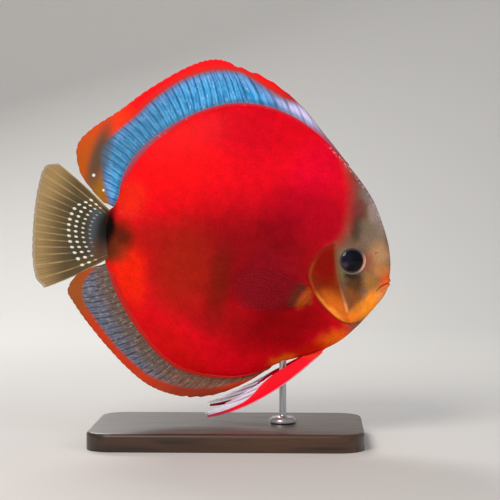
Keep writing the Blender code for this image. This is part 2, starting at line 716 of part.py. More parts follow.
def pectoral_fin(name, side):
    """A fan behind the gill cover, held out from the flank."""
    ray = along_rays(PECTORAL_RAYS)
    out = math.tan(math.radians(PECTORAL_OUT_DEG))

    def place(u, v):
        root_s, root_h, tip_s, tip_h = ray(u)
        along_s, along_h = (tip_s - root_s) * v, (tip_h - root_h) * v
        out_y = half_width(root_s, root_h) + GAP + math.hypot(along_s, along_h) * out
        return (root_s + along_s, side * out_y, root_h + along_h)

    def seat(point):
        return Vector((point.x, side * (half_width(point.x, point.z) + GAP), point.z))

    corners = [Vector(place(u, v)) for u, v in ((0.5, 0), (0.5, 1), (0.0, 0.5), (1.0, 0.5))]
    across = (corners[1] - corners[0]).cross(corners[3] - corners[2]).normalized()
    columns = ray_columns(0.0, 1.0, PECTORAL_FIN_RAYS)
    return fin_solid(
        name, columns, PECTORAL_ROWS, place, across, PAIRED_RIDGE, seat, RAY_OVERSHOOT
    )


def pelvic_fin(name, side, lift_deg=0.0):
    """A long pointed fin under the belly: a spine in front, then rays that end in a filament."""
    ray = along_rays(PELVIC_RAYS)
    out = math.tan(math.radians(PELVIC_OUT_DEG))
    lift = math.radians(lift_deg)

    def place(u, v):
        root_s, root_h, bend_s, bend_h, tip_s, tip_h = ray(u)
        root_y = PELVIC_ROOT_Y + PELVIC_ROOT_SPREAD * u
        to_skin = belly_height(root_s, root_y) - GAP - root_h
        a, b, c = (1 - v) ** 2, 2 * v * (1 - v), v * v
        s = a * root_s + b * bend_s + c * tip_s - root_s
        h = a * root_h + b * bend_h + c * tip_h - root_h
        s, h = s * math.cos(lift) + h * math.sin(lift), h * math.cos(lift) - s * math.sin(lift)
        return (
            root_s + s,
            side * (root_y + math.hypot(s, h) * out),
            root_h + h + to_skin * (1 - v) ** 3,
        )

    def seat(point):
        return Vector((point.x, point.y, belly_height(point.x, point.y) - GAP))

    across = Vector((0.2, side, 0.2)).normalized()
    columns = ray_columns(0.0, 1.0, len(PELVIC_RAYS))
    return fin_solid(name, columns, PELVIC_ROWS, place, across, PAIRED_RIDGE, seat)


# ---------------------------------------------------------------- stand


def stand_base():
    """A flat plate with round corners and a bevelled top edge, standing on the floor."""
    bpy.ops.mesh.primitive_cube_add(size=1.0)
    base = bpy.context.object
    base.name = "stand_base"
    for vertex in base.data.vertices:
        vertex.co.x *= BASE_LENGTH * MM
        vertex.co.y *= BASE_WIDTH * MM
        vertex.co.z *= BASE_HEIGHT * MM
    base.location = (0, 0, BASE_HEIGHT / 2 * MM)
    shape = bmesh.new()
    shape.from_mesh(base.data)
    upright = [e for e in shape.edges if abs(e.verts[0].co.z - e.verts[1].co.z) > MM]
    bmesh.ops.bevel(
        shape, geom=upright, offset=BASE_CORNER * MM, segments=6, profile=0.5, affect="EDGES"
    )
    top = [e for e in shape.edges if min(v.co.z for v in e.verts) > (BASE_HEIGHT / 2 - 0.01) * MM]
    bmesh.ops.bevel(shape, geom=top, offset=BASE_BEVEL * MM, segments=3, profile=0.5, affect="EDGES")
    shape.to_mesh(base.data)
    shape.free()
    return base


def stand_rod():
    """A steel rod with a turned foot that stands on the base and ends inside the belly."""
    foot = BASE_HEIGHT + GAP
    profile = [
        (0.0, ROD_TOP),
        (ROD_RADIUS, ROD_TOP),
        (ROD_RADIUS, foot + FOOT_HEIGHT),
        (FOOT_RADIUS - FOOT_SLOPE, foot + FOOT_HEIGHT),
        (FOOT_RADIUS, foot + FOOT_HEIGHT - FOOT_SLOPE),
        (FOOT_RADIUS, foot),
        (0.0, foot),
    ]
    mesh = bpy.data.meshes.new("stand_rod")
    points = [(r * MM, 0, z * MM) for r, z in profile]
    mesh.from_pydata(points, [(i, i + 1) for i in range(len(points) - 1)], [])
    rod = new_object("stand_rod", mesh)
    rod.location = (ROD_X * MM, 0, 0)
    screw = rod.modifiers.new("Turn", "SCREW")
    screw.steps = screw.render_steps = ROD_SIDES
    screw.use_merge_vertices = True
    screw.merge_threshold = 0.05 * MM
    return rod


def rod_hole(torso):
    """The hole in the belly that the rod stands in."""
    bpy.ops.mesh.primitive_cylinder_add(
        vertices=ROD_SIDES, radius=(ROD_RADIUS + GAP) * MM, depth=2 * ROD_TOP * MM
    )
    cutter = bpy.context.object
    cutter.name = "rod_hole"
    cutter.location = (ROD_X * MM, 0, GAP * MM)
    cutter.rotation_euler = (0, 0, math.pi / ROD_SIDES)
    cutter.hide_render = True
    cutter.display_type = "WIRE"
    cut = torso.modifiers.new("Rod hole", "BOOLEAN")
    cut.operation = "DIFFERENCE"
    cut.solver = "EXACT"
    cut.object = cutter
    return cutter


# ---------------------------------------------------------------- assembly

COLOURS = {
    "head": (0.72, 0.42, 0.16),
    "lower_jaw": (0.95, 0.42, 0.08),
    "gill_cover": (0.62, 0.20, 0.06),
    "torso": (0.80, 0.02, 0.02),
    "caudal_peduncle": (0.22, 0.05, 0.04),
    "dorsal_fin": (0.16, 0.42, 0.72),
    "anal_fin": (0.32, 0.33, 0.38),
    "caudal_fin": (0.45, 0.33, 0.16),
    "pectoral_fin": (0.62, 0.38, 0.36),
    "pelvic_fin": (0.90, 0.02, 0.05),
    "eye": (0.01, 0.01, 0.02),
    "stand_base": (0.05, 0.03, 0.02),
    "stand_rod": (0.60, 0.60, 0.62),
}
METALLIC = {"stand_rod": 1.0}
ROUGHNESS = {"eye": 0.1, "stand_rod": 0.3, "stand_base": 0.4}


def finish(obj):
    kind = next(k for k in COLOURS if obj.name.startswith(k))
    look = material(kind, COLOURS[kind], ROUGHNESS.get(kind, 0.35), METALLIC.get(kind, 0.0))
    obj.data.materials.clear()
    obj.data.materials.append(look)
    obj.data.shade_smooth()
    obj.data.set_sharp_from_angle(angle=math.radians(SMOOTH_UNDER_DEG))


def build():
    clear_scene()
    parts = bpy.data.collections.new("discus_fish")
    cutters = bpy.data.collections.new("cutters")
    bpy.context.scene.collection.children.link(parts)
    bpy.context.scene.collection.children.link(cutters)

    pose = new_object("fish_pose", None)
    pose.location = (FISH_X * MM, 0, FISH_Z * MM)
    pose.rotation_euler = (0, math.radians(NOSE_DOWN_DEG), 0)

    nodes = flesh_nodes()
    rigid = [*nodes.values(), *eyes(), *gill_covers()]
    for obj in rigid:
        for vertex in obj.data.vertices:
            vertex.co = bent(vertex.co / MM) * MM
    fins = [*dorsal_fins(), *anal_fins(), caudal_fin()]
    fins += [pectoral_fin("pectoral_fin_right", -1), pectoral_fin("pectoral_fin_left", 1)]
    fins += [
        pelvic_fin("pelvic_fin_right", -1),
        pelvic_fin("pelvic_fin_left", 1, LEFT_PELVIC_LIFT_DEG),
    ]
    for obj in rigid + fins:
        obj.parent = pose
    everything = [*rigid, *fins, stand_base(), stand_rod()]
    hole = rod_hole(nodes["torso"])
    for obj in [*everything, pose, hole]:
        for collection in list(obj.users_collection):
            collection.objects.unlink(obj)
        (cutters if obj is hole else parts).objects.link(obj)
    for obj in everything:
        finish(obj)


build()
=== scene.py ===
# %% [markdown]
# # Dressing a life-size discus fish
# A discus is a freshwater fish shaped like a plate on edge. The construction of this model (flesh, fins and a
# small stand, as closed solids at their real size) comes ready-made. This lesson gives it its looks: one
# unbroken skin, a coat of overlapping scales, fins with real rays, glassy eyes, and a finished stand.
#
# We start with an empty scene and load the frame. Nothing made here may outgrow it.

# %% Load the frame
import json
import math

import bmesh
import bpy
import numpy as np
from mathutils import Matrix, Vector

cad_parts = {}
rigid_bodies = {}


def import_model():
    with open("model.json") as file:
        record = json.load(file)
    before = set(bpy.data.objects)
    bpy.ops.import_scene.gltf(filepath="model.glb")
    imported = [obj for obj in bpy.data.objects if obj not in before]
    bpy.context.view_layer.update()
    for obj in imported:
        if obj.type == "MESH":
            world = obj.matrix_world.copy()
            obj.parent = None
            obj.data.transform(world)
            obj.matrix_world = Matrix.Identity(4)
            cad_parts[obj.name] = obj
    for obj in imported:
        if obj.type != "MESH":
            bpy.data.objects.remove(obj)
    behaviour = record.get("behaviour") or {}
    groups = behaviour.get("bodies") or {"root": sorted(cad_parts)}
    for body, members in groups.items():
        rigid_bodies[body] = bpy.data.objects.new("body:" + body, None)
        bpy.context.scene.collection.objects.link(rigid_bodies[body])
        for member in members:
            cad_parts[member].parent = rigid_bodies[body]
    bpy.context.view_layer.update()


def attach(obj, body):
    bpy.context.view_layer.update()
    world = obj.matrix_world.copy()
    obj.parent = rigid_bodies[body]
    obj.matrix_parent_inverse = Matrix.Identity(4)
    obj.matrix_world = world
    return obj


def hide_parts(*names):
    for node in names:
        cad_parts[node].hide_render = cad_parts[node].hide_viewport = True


for leftover in list(bpy.data.objects):
    bpy.data.objects.remove(leftover)
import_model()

# %% [markdown]
# ## Colours and nodes
# Colours are written as the sRGB hex codes that a paint program shows. Blender's shaders count in linear light,
# so one function converts them. A second small function adds a node with its settings and its links, and every
# material and every geometry tree below is built with it. Where a socket is given a word, the function links the
# measure that the mesh carries under that name, so the patterns below read almost like sentences.

# %% Helpers for materials
MM = 0.001


def colour(code):
    """Linear RGBA from an sRGB code such as #F4A01C. A colour made by nodes passes through as it is."""
    if not isinstance(code, str):
        return code
    parts = [int(code[i : i + 2], 16) / 255 for i in (1, 3, 5)]
    return (*[c / 12.92 if c <= 0.04045 else ((c + 0.055) / 1.055) ** 2.4 for c in parts], 1.0)


def node(tree, kind, inputs=None, out=0, **settings):
    """Adds a node and returns one of its outputs. inputs holds, by socket name or number, a value, the output
    to link, or the name of a measure stored in the mesh."""
    made = tree.nodes.new(kind if "Node" in kind else "ShaderNode" + kind)
    for name, value in settings.items():
        setattr(made, name, value)
    for socket, value in (inputs or {}).items():
        target = made.inputs[socket]
        if isinstance(value, str) and target.type != "STRING":
            read_as = "Fac" if target.type == "VALUE" else "Vector"
            value = node(tree, "Attribute", out=read_as, attribute_name=value)
        if isinstance(value, bpy.types.NodeSocket):
            tree.links.new(value, target)
        else:
            target.default_value = value
    return made.outputs[out]


def start_material(name, **values):
    """A new material, its node tree and its Principled shader, with constant values set on the shader."""
    made = bpy.data.materials.new(name)
    made.use_nodes = True
    shader = made.node_tree.nodes["Principled BSDF"]
    for socket, value in values.items():
        shader.inputs[socket.replace("_", " ")].default_value = value
    return made, made.node_tree, shader


def wire(shader, **outputs):
    """Links outputs to the shader's sockets of the same names."""
    for socket, output in outputs.items():
        shader.id_data.links.new(output, shader.inputs[socket.replace("_", " ")])


print("pure red in linear light:", [round(c, 3) for c in colour("#F00A1C")])

# %% [markdown]
# ## The fish's own frame
# The fish is easiest to describe lying level: s runs forward along the body, h up, and y to its left, all in
# millimetres, with the zero in the middle of the flank. On the stand it points its nose down a little and its
# tail swings to the left. `to_world` applies both, so every piece can be modelled level and settled at the end.

# %% From the fish's frame to the world
NOSE_DOWN = math.radians(9.0)
FLANK_X, FLANK_Z = 1.8, 92.7
TAIL_SWAY, SWAY_START, SWAY_END = 4.5, 5.0, -92.0


def to_world(points):
    """World places, in metres, of points (s, y, h) in millimetres."""
    s, y, h = np.asarray(points, float).T
    share = np.clip((SWAY_START - s) / (SWAY_START - SWAY_END), 0, None)
    x = FLANK_X + s * math.cos(NOSE_DOWN) + h * math.sin(NOSE_DOWN)
    z = FLANK_Z - s * math.sin(NOSE_DOWN) + h * math.cos(NOSE_DOWN)
    return np.stack([x, y + TAIL_SWAY * share**2, z], axis=1) * MM


print("the tail's end swings", round(to_world([(SWAY_END, 0, 0)])[0][1] * 1000, 2), "mm to the left")

# %% [markdown]
# ## The body's form as formulas
# The side view is a smooth closed curve through a few points. A second curve says how thick the body is along its
# length, and a third how bluntly the thickness falls away at the rim: the brow and the root of the tail are full,
# and the edges that carry the long fins are sharp. Together they give the half thickness at any place.

# %% Outline and thickness
FLESH_OUTLINE = [
    (-58.2, 0.8), (-55.4, 4.3), (-53.7, 9.2), (-53.5, 15.0), (-52.2, 21.7), (-47.6, 31.3),
    (-38.1, 42.0), (-25.1, 52.1), (-11.0, 58.6), (2.0, 60.4), (14.0, 58.9), (24.5, 55.2),
    (34.0, 49.6), (43.2, 42.6), (52.6, 34.4), (60.4, 25.8), (66.0, 16.4), (70.4, 6.8),
    (72.5, -1.2), (73.0, -6.4), (73.2, -11.0), (71.9, -15.9), (68.8, -21.4), (64.9, -27.5),
    (60.3, -33.8), (55.4, -39.2), (48.6, -44.2), (39.6, -48.8), (31.0, -52.8), (22.0, -58.4),
    (13.0, -62.6), (2.0, -64.4), (-9.0, -64.2), (-18.0, -61.8), (-26.6, -56.8), (-34.8, -49.4),
    (-41.9, -41.7), (-48.4, -32.8), (-52.8, -24.6), (-55.3, -19.6), (-57.6, -9.5),
]
# Half the thickness at each s
HALF_WIDTHS = [
    (-62.0, 4.6), (-52.0, 6.0), (-35.0, 8.4), (-10.0, 11.0), (15.0, 12.7), (38.0, 13.8),
    (54.0, 11.8), (66.0, 10.4), (78.0, 9.4),
]
# The power by which the thickness falls off, at each direction in degrees: the lower, the blunter the rim
RIM_POWERS = [
    (-180.0, 0.36), (-165.0, 0.44), (-140.0, 0.60), (-65.0, 0.56), (-42.0, 0.46), (-8.0, 0.36),
    (20.0, 0.42), (50.0, 0.52), (80.0, 0.60), (145.0, 0.60), (168.0, 0.44), (180.0, 0.36),
]


def curve_through(points, steps=12, closed=False):
    """A smooth curve through the points, with that many steps between neighbours."""
    points = np.array(points, float)
    if closed:
        padded = np.vstack([points[-1:], points, points[:2]])
    else:
        padded = np.vstack([2 * points[0] - points[1], points, 2 * points[-1] - points[-2]])
    t = (np.arange(steps) / steps)[None, :, None]
    p0, p1, p2, p3 = [padded[k : len(padded) - 3 + k, None, :] for k in range(4)]
    bend = (2 * p0 - 5 * p1 + 4 * p2 - p3) * t**2 + (3 * p1 - p0 - 3 * p2 + p3) * t**3
    curve = (0.5 * (2 * p1 + (p2 - p0) * t + bend)).reshape(-1, points.shape[1])
    return curve if closed else np.vstack([curve, points[-1:]])


def reach_from(place, curve):
    """A function that gives how far the closed curve is from a place, in each direction."""
    away = curve - np.asarray(place)
    directions = np.arctan2(away[:, 1], away[:, 0])
    order = np.argsort(directions)
    distances = np.hypot(*away.T)
    return lambda turn: np.interp(turn, directions[order], distances[order], period=2 * math.pi)


outline = curve_through(FLESH_OUTLINE, 24, closed=True)
outline_reach = reach_from((0, 0), outline)
width_curve = curve_through(HALF_WIDTHS)
power_curve = curve_through(RIM_POWERS)


def half_width(s, h):
    """Half the thickness of the body at places on its side, and 0 outside it."""
    turn = np.arctan2(h, s)
    reach = np.minimum(np.hypot(s, h) / outline_reach(turn), 1.0)
    power = np.interp(np.degrees(turn), *power_curve.T)
    return np.interp(s, *width_curve.T) * (1 - reach**2) ** power


def rim_distance(s, h):
    """How far a place lies outside the body's outline, in mm. Inside it is negative."""
    return np.hypot(s, h) - outline_reach(np.arctan2(h, s))


print("the flank is", round(2 * float(half_width(np.array(10.0), np.array(0.0))), 1), "mm thick")

# %% [markdown]
# ## Lines on the head
# The free edge of the gill cover, the bony edge inside it (the preopercle), the mouth, and the line where the red
# body meets the grey brow are all drawn as curves on the side of the head. One function measures how far any
# place is from such a line, and on which side. Those distances then steer both the relief and the colours, so a
# ridge and its colour can't drift apart.

# %% Distances from the head's lines
GILL_EDGE = [
    (46.2, 3.6), (44.2, 3.2), (40.6, 0.4), (37.4, -5.2), (36.4, -10.6), (37.9, -15.4), (41.6, -20.4),
    (47.2, -25.4), (53.0, -29.2), (58.2, -30.4), (62.6, -29.2),
]
CHEEK_EDGE = [
    (46.4, 5.4), (47.2, 1.0), (48.2, -3.5), (49.4, -8.0), (51.0, -12.4), (52.9, -17.0), (54.8, -21.4),
    (56.2, -24.8),
]
MOUTH = [(76.5, -8.9), (73.6, -9.5), (71.8, -10.3), (70.2, -11.4), (69.0, -12.7), (68.2, -14.0)]
JAW_EDGE = [(68.2, -14.0), (66.2, -19.0), (66.2, -23.0), (67.6, -26.4)]
BROW_EDGE = [
    (40.6, 47.5), (43.0, 41.9), (45.9, 35.1), (48.2, 26.3), (49.1, 15.1), (47.6, 7.2), (43.6, 2.6), (40.4, -3.0),
    (38.9, -8.5), (39.4, -14.0), (43.4, -19.3), (48.6, -23.8), (53.4, -27.6), (56.4, -31.0), (58.5, -36.0),
    (60.0, -44.0),
]
HEAD_LINES = {"brow": BROW_EDGE, "gill": GILL_EDGE, "cheek": CHEEK_EDGE, "mouth": MOUTH}


def from_line(places, line):
    """Signed distance of each (s, h) from a line, plus on the left of the way it runs, and the share passed."""
    line = curve_through(line, 6)
    steps = np.diff(line, axis=0)
    lengths = np.hypot(*steps.T)
    starts = np.concatenate([[0], np.cumsum(lengths)])
    best = np.full(len(places), np.inf)
    sign, passed = np.ones(len(places)), np.zeros(len(places))
    for start, step, length, before in zip(line, steps, lengths, starts):
        away = places - start
        share = np.clip(away @ step / length**2, 0, 1)
        gap = np.hypot(*(away - share[:, None] * step).T)
        nearer = gap < best - 1e-9
        best[nearer] = gap[nearer]
        sign[nearer] = np.sign(step[0] * away[:, 1] - step[1] * away[:, 0])[nearer]
        passed[nearer] = ((before + share * length) / starts[-1])[nearer]
    return best * np.where(sign == 0, 1, sign), passed


def smooth(x):
    """Eases from 0 to 1 as x goes from 0 to 1."""
    x = np.clip(x, 0, 1)
    return x * x * (3 - 2 * x)


def hump(distance, width):
    """A soft rise that is 1 at no distance and dies out over a few widths."""
    return np.exp(-((distance / width) ** 2))


probe = np.array([(40.0, -10.0), (30.0, -10.0)])
print("a place on the gill cover and one behind it:", from_line(probe, GILL_EDGE)[0].round(1), "mm")

# %% [markdown]
# ## Relief of the head
# Real skin isn't a smooth shell. The gill cover is a plate whose rear edge stands free, the lips are two soft
# rolls with a slit between them, the eye sits in a raised ring, each side has one nostril, and a fleshy lobe
# carries the breast fin. Modelling these by hand would mean a sculpt that can't be repeated, so each is a small
# formula: how many millimetres the skin rises or sinks, by the distance from its line or centre. Before each
# `hump` stands its height, and in it its width, both in millimetres.

# %% Rises and hollows of the skin
COVER_RISE, COVER_LENGTH = 0.6, 7.0  # the gill cover's edge stands out, and sinks back over this length
GROOVE_DEPTH, GROOVE_LENGTH = 0.55, 1.3  # the furrow behind it
LIP_FRONT, LIP_CORNER, LIP_SHARE = 1.05, 0.6, 0.66  # the lips' radius at both ends, and how much of it shows
EYE_S, EYE_H, EYE_RING = 55.0, -2.2, 5.95
SOCKET_DEPTH = 2.4
NOSTRIL = (65.4, 2.6)
LOBE_S, LOBE_H, LOBE_TURN = 37.0, -22.2, math.radians(60.0)
LOBE_LONG, LOBE_WIDE, LOBE_HIGH = 5.0, 3.0, 1.5


def fading(passed, rise, fall, start=0.0):
    """1 along a line, easing from 0 over the share rise at its start and to 0 over the share fall at its end."""
    return smooth((passed - start) / rise) * smooth((1 - passed) / fall)


def gill_relief(places):
    """The cover's free edge, the groove behind it, and the ridge of the cheek bone."""
    edge, passed = from_line(places, GILL_EDGE)
    plate = smooth((edge + 0.3) / 0.6)
    cover = COVER_RISE * np.exp(-np.maximum(edge, 0) / COVER_LENGTH) * plate
    groove = GROOVE_DEPTH * np.exp(np.minimum(edge, 0) / GROOVE_LENGTH) * (1 - plate)
    cheek, along = from_line(places, CHEEK_EDGE)
    bone = 0.28 * hump(cheek, 0.5) - 0.22 * hump(cheek - 1.1, 0.6)
    return (cover - groove) * fading(passed, 0.12, 0.06) + bone * fading(along, 0.15, 0.07, start=0.27)


def mouth_relief(places):
    """The two lips with the slit between them, and the fold of the jaw."""
    line, passed = from_line(places, MOUTH)
    radius = LIP_FRONT + (LIP_CORNER - LIP_FRONT) * passed**0.8
    away = np.abs(line)
    roll = np.sqrt(np.clip(2 * radius * away - away**2, 0, None)) * (1 - 0.45 * smooth((passed - 0.9) / 0.1))
    slit = 0.4 * hump(line, 0.28) * smooth((1.02 - passed) / 0.1)
    jaw, along = from_line(places, JAW_EDGE)
    return LIP_SHARE * roll - slit - 0.16 * hump(jaw, 0.6) * fading(along, 0.1, 0.3)


def eye_relief(places):
    """The raised ring round the eye, and the socket inside it."""
    away = np.hypot(places[:, 0] - EYE_S, places[:, 1] - EYE_H)
    ring = 0.55 * hump(away - EYE_RING, 0.5) - 0.25 * hump(away - 7.9, 1.1)
    return ring - SOCKET_DEPTH * smooth((EYE_RING - 0.5 - away) / 0.7)


def small_relief(places):
    """The nostril, and the lobe that carries the breast fin."""
    nostril = np.hypot(places[:, 0] - NOSTRIL[0], places[:, 1] - NOSTRIL[1])
    s, h = places[:, 0] - LOBE_S, places[:, 1] - LOBE_H
    along = s * math.cos(LOBE_TURN) + h * math.sin(LOBE_TURN)
    across = h * math.cos(LOBE_TURN) - s * math.sin(LOBE_TURN)
    lobe = LOBE_HIGH * smooth(1.25 - np.hypot(along / LOBE_LONG, across / LOBE_WIDE))
    return 0.22 * hump(nostril - 1.15, 0.35) - 0.9 * hump(nostril, 0.6) + lobe


def relief(places):
    """How far the skin stands out from the plain form at places (s, h), in mm."""
    return gill_relief(places) + mouth_relief(places) + eye_relief(places) + small_relief(places)


print("the eye's ring rises", round(float(relief(np.array([(EYE_S, EYE_H + EYE_RING)]))[0]), 2), "mm")

# %% [markdown]
# ## One skin
# The skin is a net of rings about a place in the cheek, on both sides of the body, sewn together along the rim.
# Because the rings start in the head, the net is finest round the eye, gill cover and mouth, and wide on the
# plain flank: few faces, spent where they show. Each point is then pushed out or in along its own normal by the
# relief. A subdivided cage would be quicker to draw, but it couldn't follow the formulas.

# %% Net of rings
PIVOT = np.array([46.0, -10.0])
SEGMENTS, RINGS = 440, 104
SNOUT_CROWDING = 0.45
EVEN_REACH = 30.0  # mm from the pivot in which the rings lie evenly


def ring_places():
    """(s, h) of the net's rings as an array (ring, segment, 2), from the innermost ring to the rim."""
    turn = np.arange(SEGMENTS) / SEGMENTS * 2 * math.pi - math.pi
    turn = turn - SNOUT_CROWDING * np.sin(turn)
    rim = reach_from(PIVOT, outline)(turn)
    even = np.minimum(1, EVEN_REACH / rim)
    share = np.sin(np.arange(1, RINGS + 1) / RINGS * math.pi / 2)[:, None]
    reach = rim * (even * share + (1 - even) * share**3)
    return PIVOT + reach[:, :, None] * np.stack([np.cos(turn), np.sin(turn)], axis=1)


def net_mesh(name):
    """The plain body as a closed mesh in the fish's frame."""
    places = ring_places()
    flat = np.vstack([PIVOT, places[:-1].reshape(-1, 2)])
    rim = np.stack([places[-1, :, 0], np.zeros(SEGMENTS), places[-1, :, 1]], axis=1)
    here = np.arange(SEGMENTS)
    ahead = (here + 1) % SEGMENTS
    sides, faces = [], []
    for side in (-1, 1):
        start = len(flat) * len(sides) + 1
        sides.append(np.stack([flat[:, 0], side * half_width(*flat.T), flat[:, 1]], axis=1))
        rows = [start + ring * SEGMENTS for ring in range(RINGS - 1)] + [2 * len(flat)]
        made = [np.stack([np.full(SEGMENTS, start - 1), start + here, start + ahead], axis=1)]
        made += [np.stack([low + here, high + here, high + ahead, low + ahead], axis=1)
                 for low, high in zip(rows, rows[1:])]
        for loops in made:
            faces += (loops if side < 0 else loops[:, ::-1]).tolist()
    mesh = bpy.data.meshes.new(name)
    mesh.from_pydata(np.vstack([*sides, rim]).tolist(), [], faces)
    return mesh


def read(items, key, width=3):
    """One property of all items of a mesh, such as its vertices' places, as an array."""
    flat = np.empty(len(items) * width, np.float32)
    items.foreach_get(key, flat)
    return flat.astype(float).reshape(-1, width).squeeze()


def points_of(mesh):
    """The places of the mesh's points, as an array."""
    return read(mesh.vertices, "co")


def move_points(mesh, points):
    """Moves all points of the mesh to new places."""
    mesh.vertices.foreach_set("co", np.asarray(points, np.float32).ravel())
    mesh.update()


skin_mesh = net_mesh("skin")
level = points_of(skin_mesh)
lifted = read(skin_mesh.vertex_normals, "vector") * relief(level[:, [0, 2]])[:, None]
move_points(skin_mesh, level + lifted)
print("the skin has", len(skin_mesh.polygons), "faces")

# %% [markdown]
# ## Handing places on to the shaders
# A pattern that belongs to the fish should be laid out in the fish's own millimetres, not in the world's. So each
# mesh carries, at every point, its place in the fish's frame and its distances from the head's lines, as named
# attributes that the shader's Attribute nodes read. `settle` writes them, moves the mesh into the world and
# makes the object.

# %% Attributes, and settling a piece
def keep(mesh, name, values):
    """Stores a number, or a vector of three, at every point of the mesh."""
    values = np.asarray(values, np.float32)
    kind, key = ("FLOAT_VECTOR", "vector") if values.ndim == 2 else ("FLOAT", "value")
    layer = mesh.attributes.get(name) or mesh.attributes.new(name, kind, "POINT")
    layer.data.foreach_set(key, values.ravel())


def numbers_of(mesh, name):
    """The numbers stored under a name at the points of the mesh."""
    return read(mesh.attributes[name].data, "value", 1)


def add_object(name, data):
    """A new object of the scene."""
    made = bpy.data.objects.new(name, data)
    bpy.context.scene.collection.objects.link(made)
    return made


def settle(mesh, name, material, head_lines=False):
    """Makes a finished object of a mesh in the fish's frame, and prints its size."""
    points = points_of(mesh)
    keep(mesh, "place", points[:, [0, 2, 1]])
    if head_lines:
        places = points[:, [0, 2]]
        for key, line in HEAD_LINES.items():
            signed, _ = from_line(places, line)
            keep(mesh, key, signed)
            keep(mesh, key + "_line", np.abs(signed))
        keep(mesh, "rim", rim_distance(*places.T))
    move_points(mesh, to_world(points))
    mesh.materials.clear()
    mesh.materials.append(material)
    mesh.shade_smooth()
    mesh.name = name
    print(f"{name}: {len(mesh.polygons)} faces, {np.ptp(points_of(mesh), axis=0).round(4) / MM} mm")
    return add_object(name, mesh)


# %% [markdown]
# ## Brushes
# The fish's colour comes from pigments in the skin under thin clear scales and a film of mucus: deep, slightly
# translucent and softly glossy, never chalky. It is laid in soft layers, and a few of the layers paint light and
# shade rather than pigments, as the comments at the tables below say. A blot is an ellipse with its own colour
# that fades at its edge, a band colours where a measure passes from one value to another, and a stripe follows a
# line of the head. A Mapping node of type Texture turns a place into ellipse radii in one step, which keeps a
# blot at four nodes. A table of layers then reads like a list of brush strokes.

# %% Blot, band and stripe
def lay(tree, under, code, cover, easing="SMOOTHSTEP"):
    """Lays a colour over another. cover is an output, or the settings of a Map Range node."""
    if isinstance(cover, dict):
        cover = node(tree, "MapRange", cover, interpolation_type=easing)
    return node(tree, "Mix", {0: cover, 6: colour(under), 7: colour(code)}, out=2, data_type="RGBA")


def ellipse(tree, place, s, h, long, high, turn):
    """How far a place is from the middle of an ellipse, counted in the ellipse's own radii."""
    # In the fish's frame the third number is across the body, so its scale is huge: both sides are painted
    shape = {"Location": (s, h, 0), "Rotation": (0, 0, math.radians(turn)), "Scale": (long, high, 1e4)}
    mapped = node(tree, "Mapping", {"Vector": place, **shape}, vector_type="TEXTURE")
    return node(tree, "VectorMath", {0: mapped}, out="Value", operation="LENGTH")


def blot(tree, under, s, h, long, high, turn, code, strength, place="place"):
    """Paints a soft ellipse over the colour made so far and returns the new colour."""
    fade = {"From Min": 1.5, "From Max": 0.2, "To Max": strength}
    fade["Value"] = ellipse(tree, place, s, h, long, high, turn)
    return lay(tree, under, code, fade, "SMOOTHERSTEP")


def band(tree, under, measure, low, high, code, strength=1.0):
    """Paints a colour where a measure, such as the distance from the rim, passes from low to high."""
    return lay(tree, under, code, {"Value": measure, "From Min": low, "From Max": high, "To Max": strength})


def stripe(tree, under, distance, middle, width, code, strength=1.0, core=0.3):
    """Paints a soft line where a distance is middle mm. core is the share of its width that is full."""
    off = node(tree, "Math", {0: distance, 1: middle}, operation="SUBTRACT")
    off = node(tree, "Math", {0: off}, operation="ABSOLUTE")
    return band(tree, under, off, width, width * core, code, strength)


def paint_over(tree, paint, layers, place="place"):
    """Lays a table's layers over a paint. A layer is a brush and its numbers, or a blot's numbers alone."""
    for layer in layers:
        if callable(layer[0]):
            paint = layer[0](tree, paint, *layer[1:])
        else:
            paint = blot(tree, paint, *layer, place)
    return paint


print("brushes:", ", ".join(brush.__name__ for brush in (blot, band, stripe)))

# %% Colours of the body and head
# A blot's numbers: s, h, half length, half height, turn in degrees, colour, strength
BODY_RED, HEAD_TAN, GILL_BROWN = "#E6081A", "#745A46", "#822C0E"
# Painted light in this table: the first blot, bright scarlet high on the rear of the flank, is partly pigment and
# partly a painted pool of light from above. The large dark red blots at (12, -9), (34, 16) and (28, -37) are
# partly pigment and partly painted shade under that light. The other blots are the fish's own markings.
BODY_BLOTS = [
    (-34, 27, 30, 30, 0, "#FA0C12", 0.9), (2, 48, 20, 13, 0, "#D2061C", 0.8),
    (34, 35, 13, 16, -30, "#E6042C", 0.7), (12, -9, 52, 27, 2, "#8E0A12", 0.95),
    (34, 16, 24, 14, 0, "#A2041C", 0.7), (28, -37, 28, 13, 24, "#860408", 0.85),
    (20, -15, 15, 14, 0, "#8C1020", 0.5), (-19, -18, 17, 22, 0, "#A4200C", 0.75),
    (-2, -22, 6, 19, 0, "#74190A", 0.7), (-44, -22, 9, 20, 18, "#FA2606", 0.85),
    (-48, 9, 8, 9, 0, "#F02C12", 0.7), (-18, -53, 24, 8, -28, "#D2100C", 0.75),
    (-50, -7.6, 8, 8, 6, "#541E0E", 0.95), (-50, -15.4, 6, 5, 10, "#8A3014", 0.75),
    (54, -40, 9, 6, 32, "#FF6A10", 0.95), (38, -47, 16, 3.5, 24, "#C81C08", 0.8),
    (31, -51.4, 7, 2.8, 28, "#FF6218", 0.95), (21, 5, 11, 11, 0, "#72040E", 0.5),
    (0, -38.5, 15, 8, 0, "#86120E", 0.5), (-36, -5, 11, 8, 0, "#A41A10", 0.6),
]
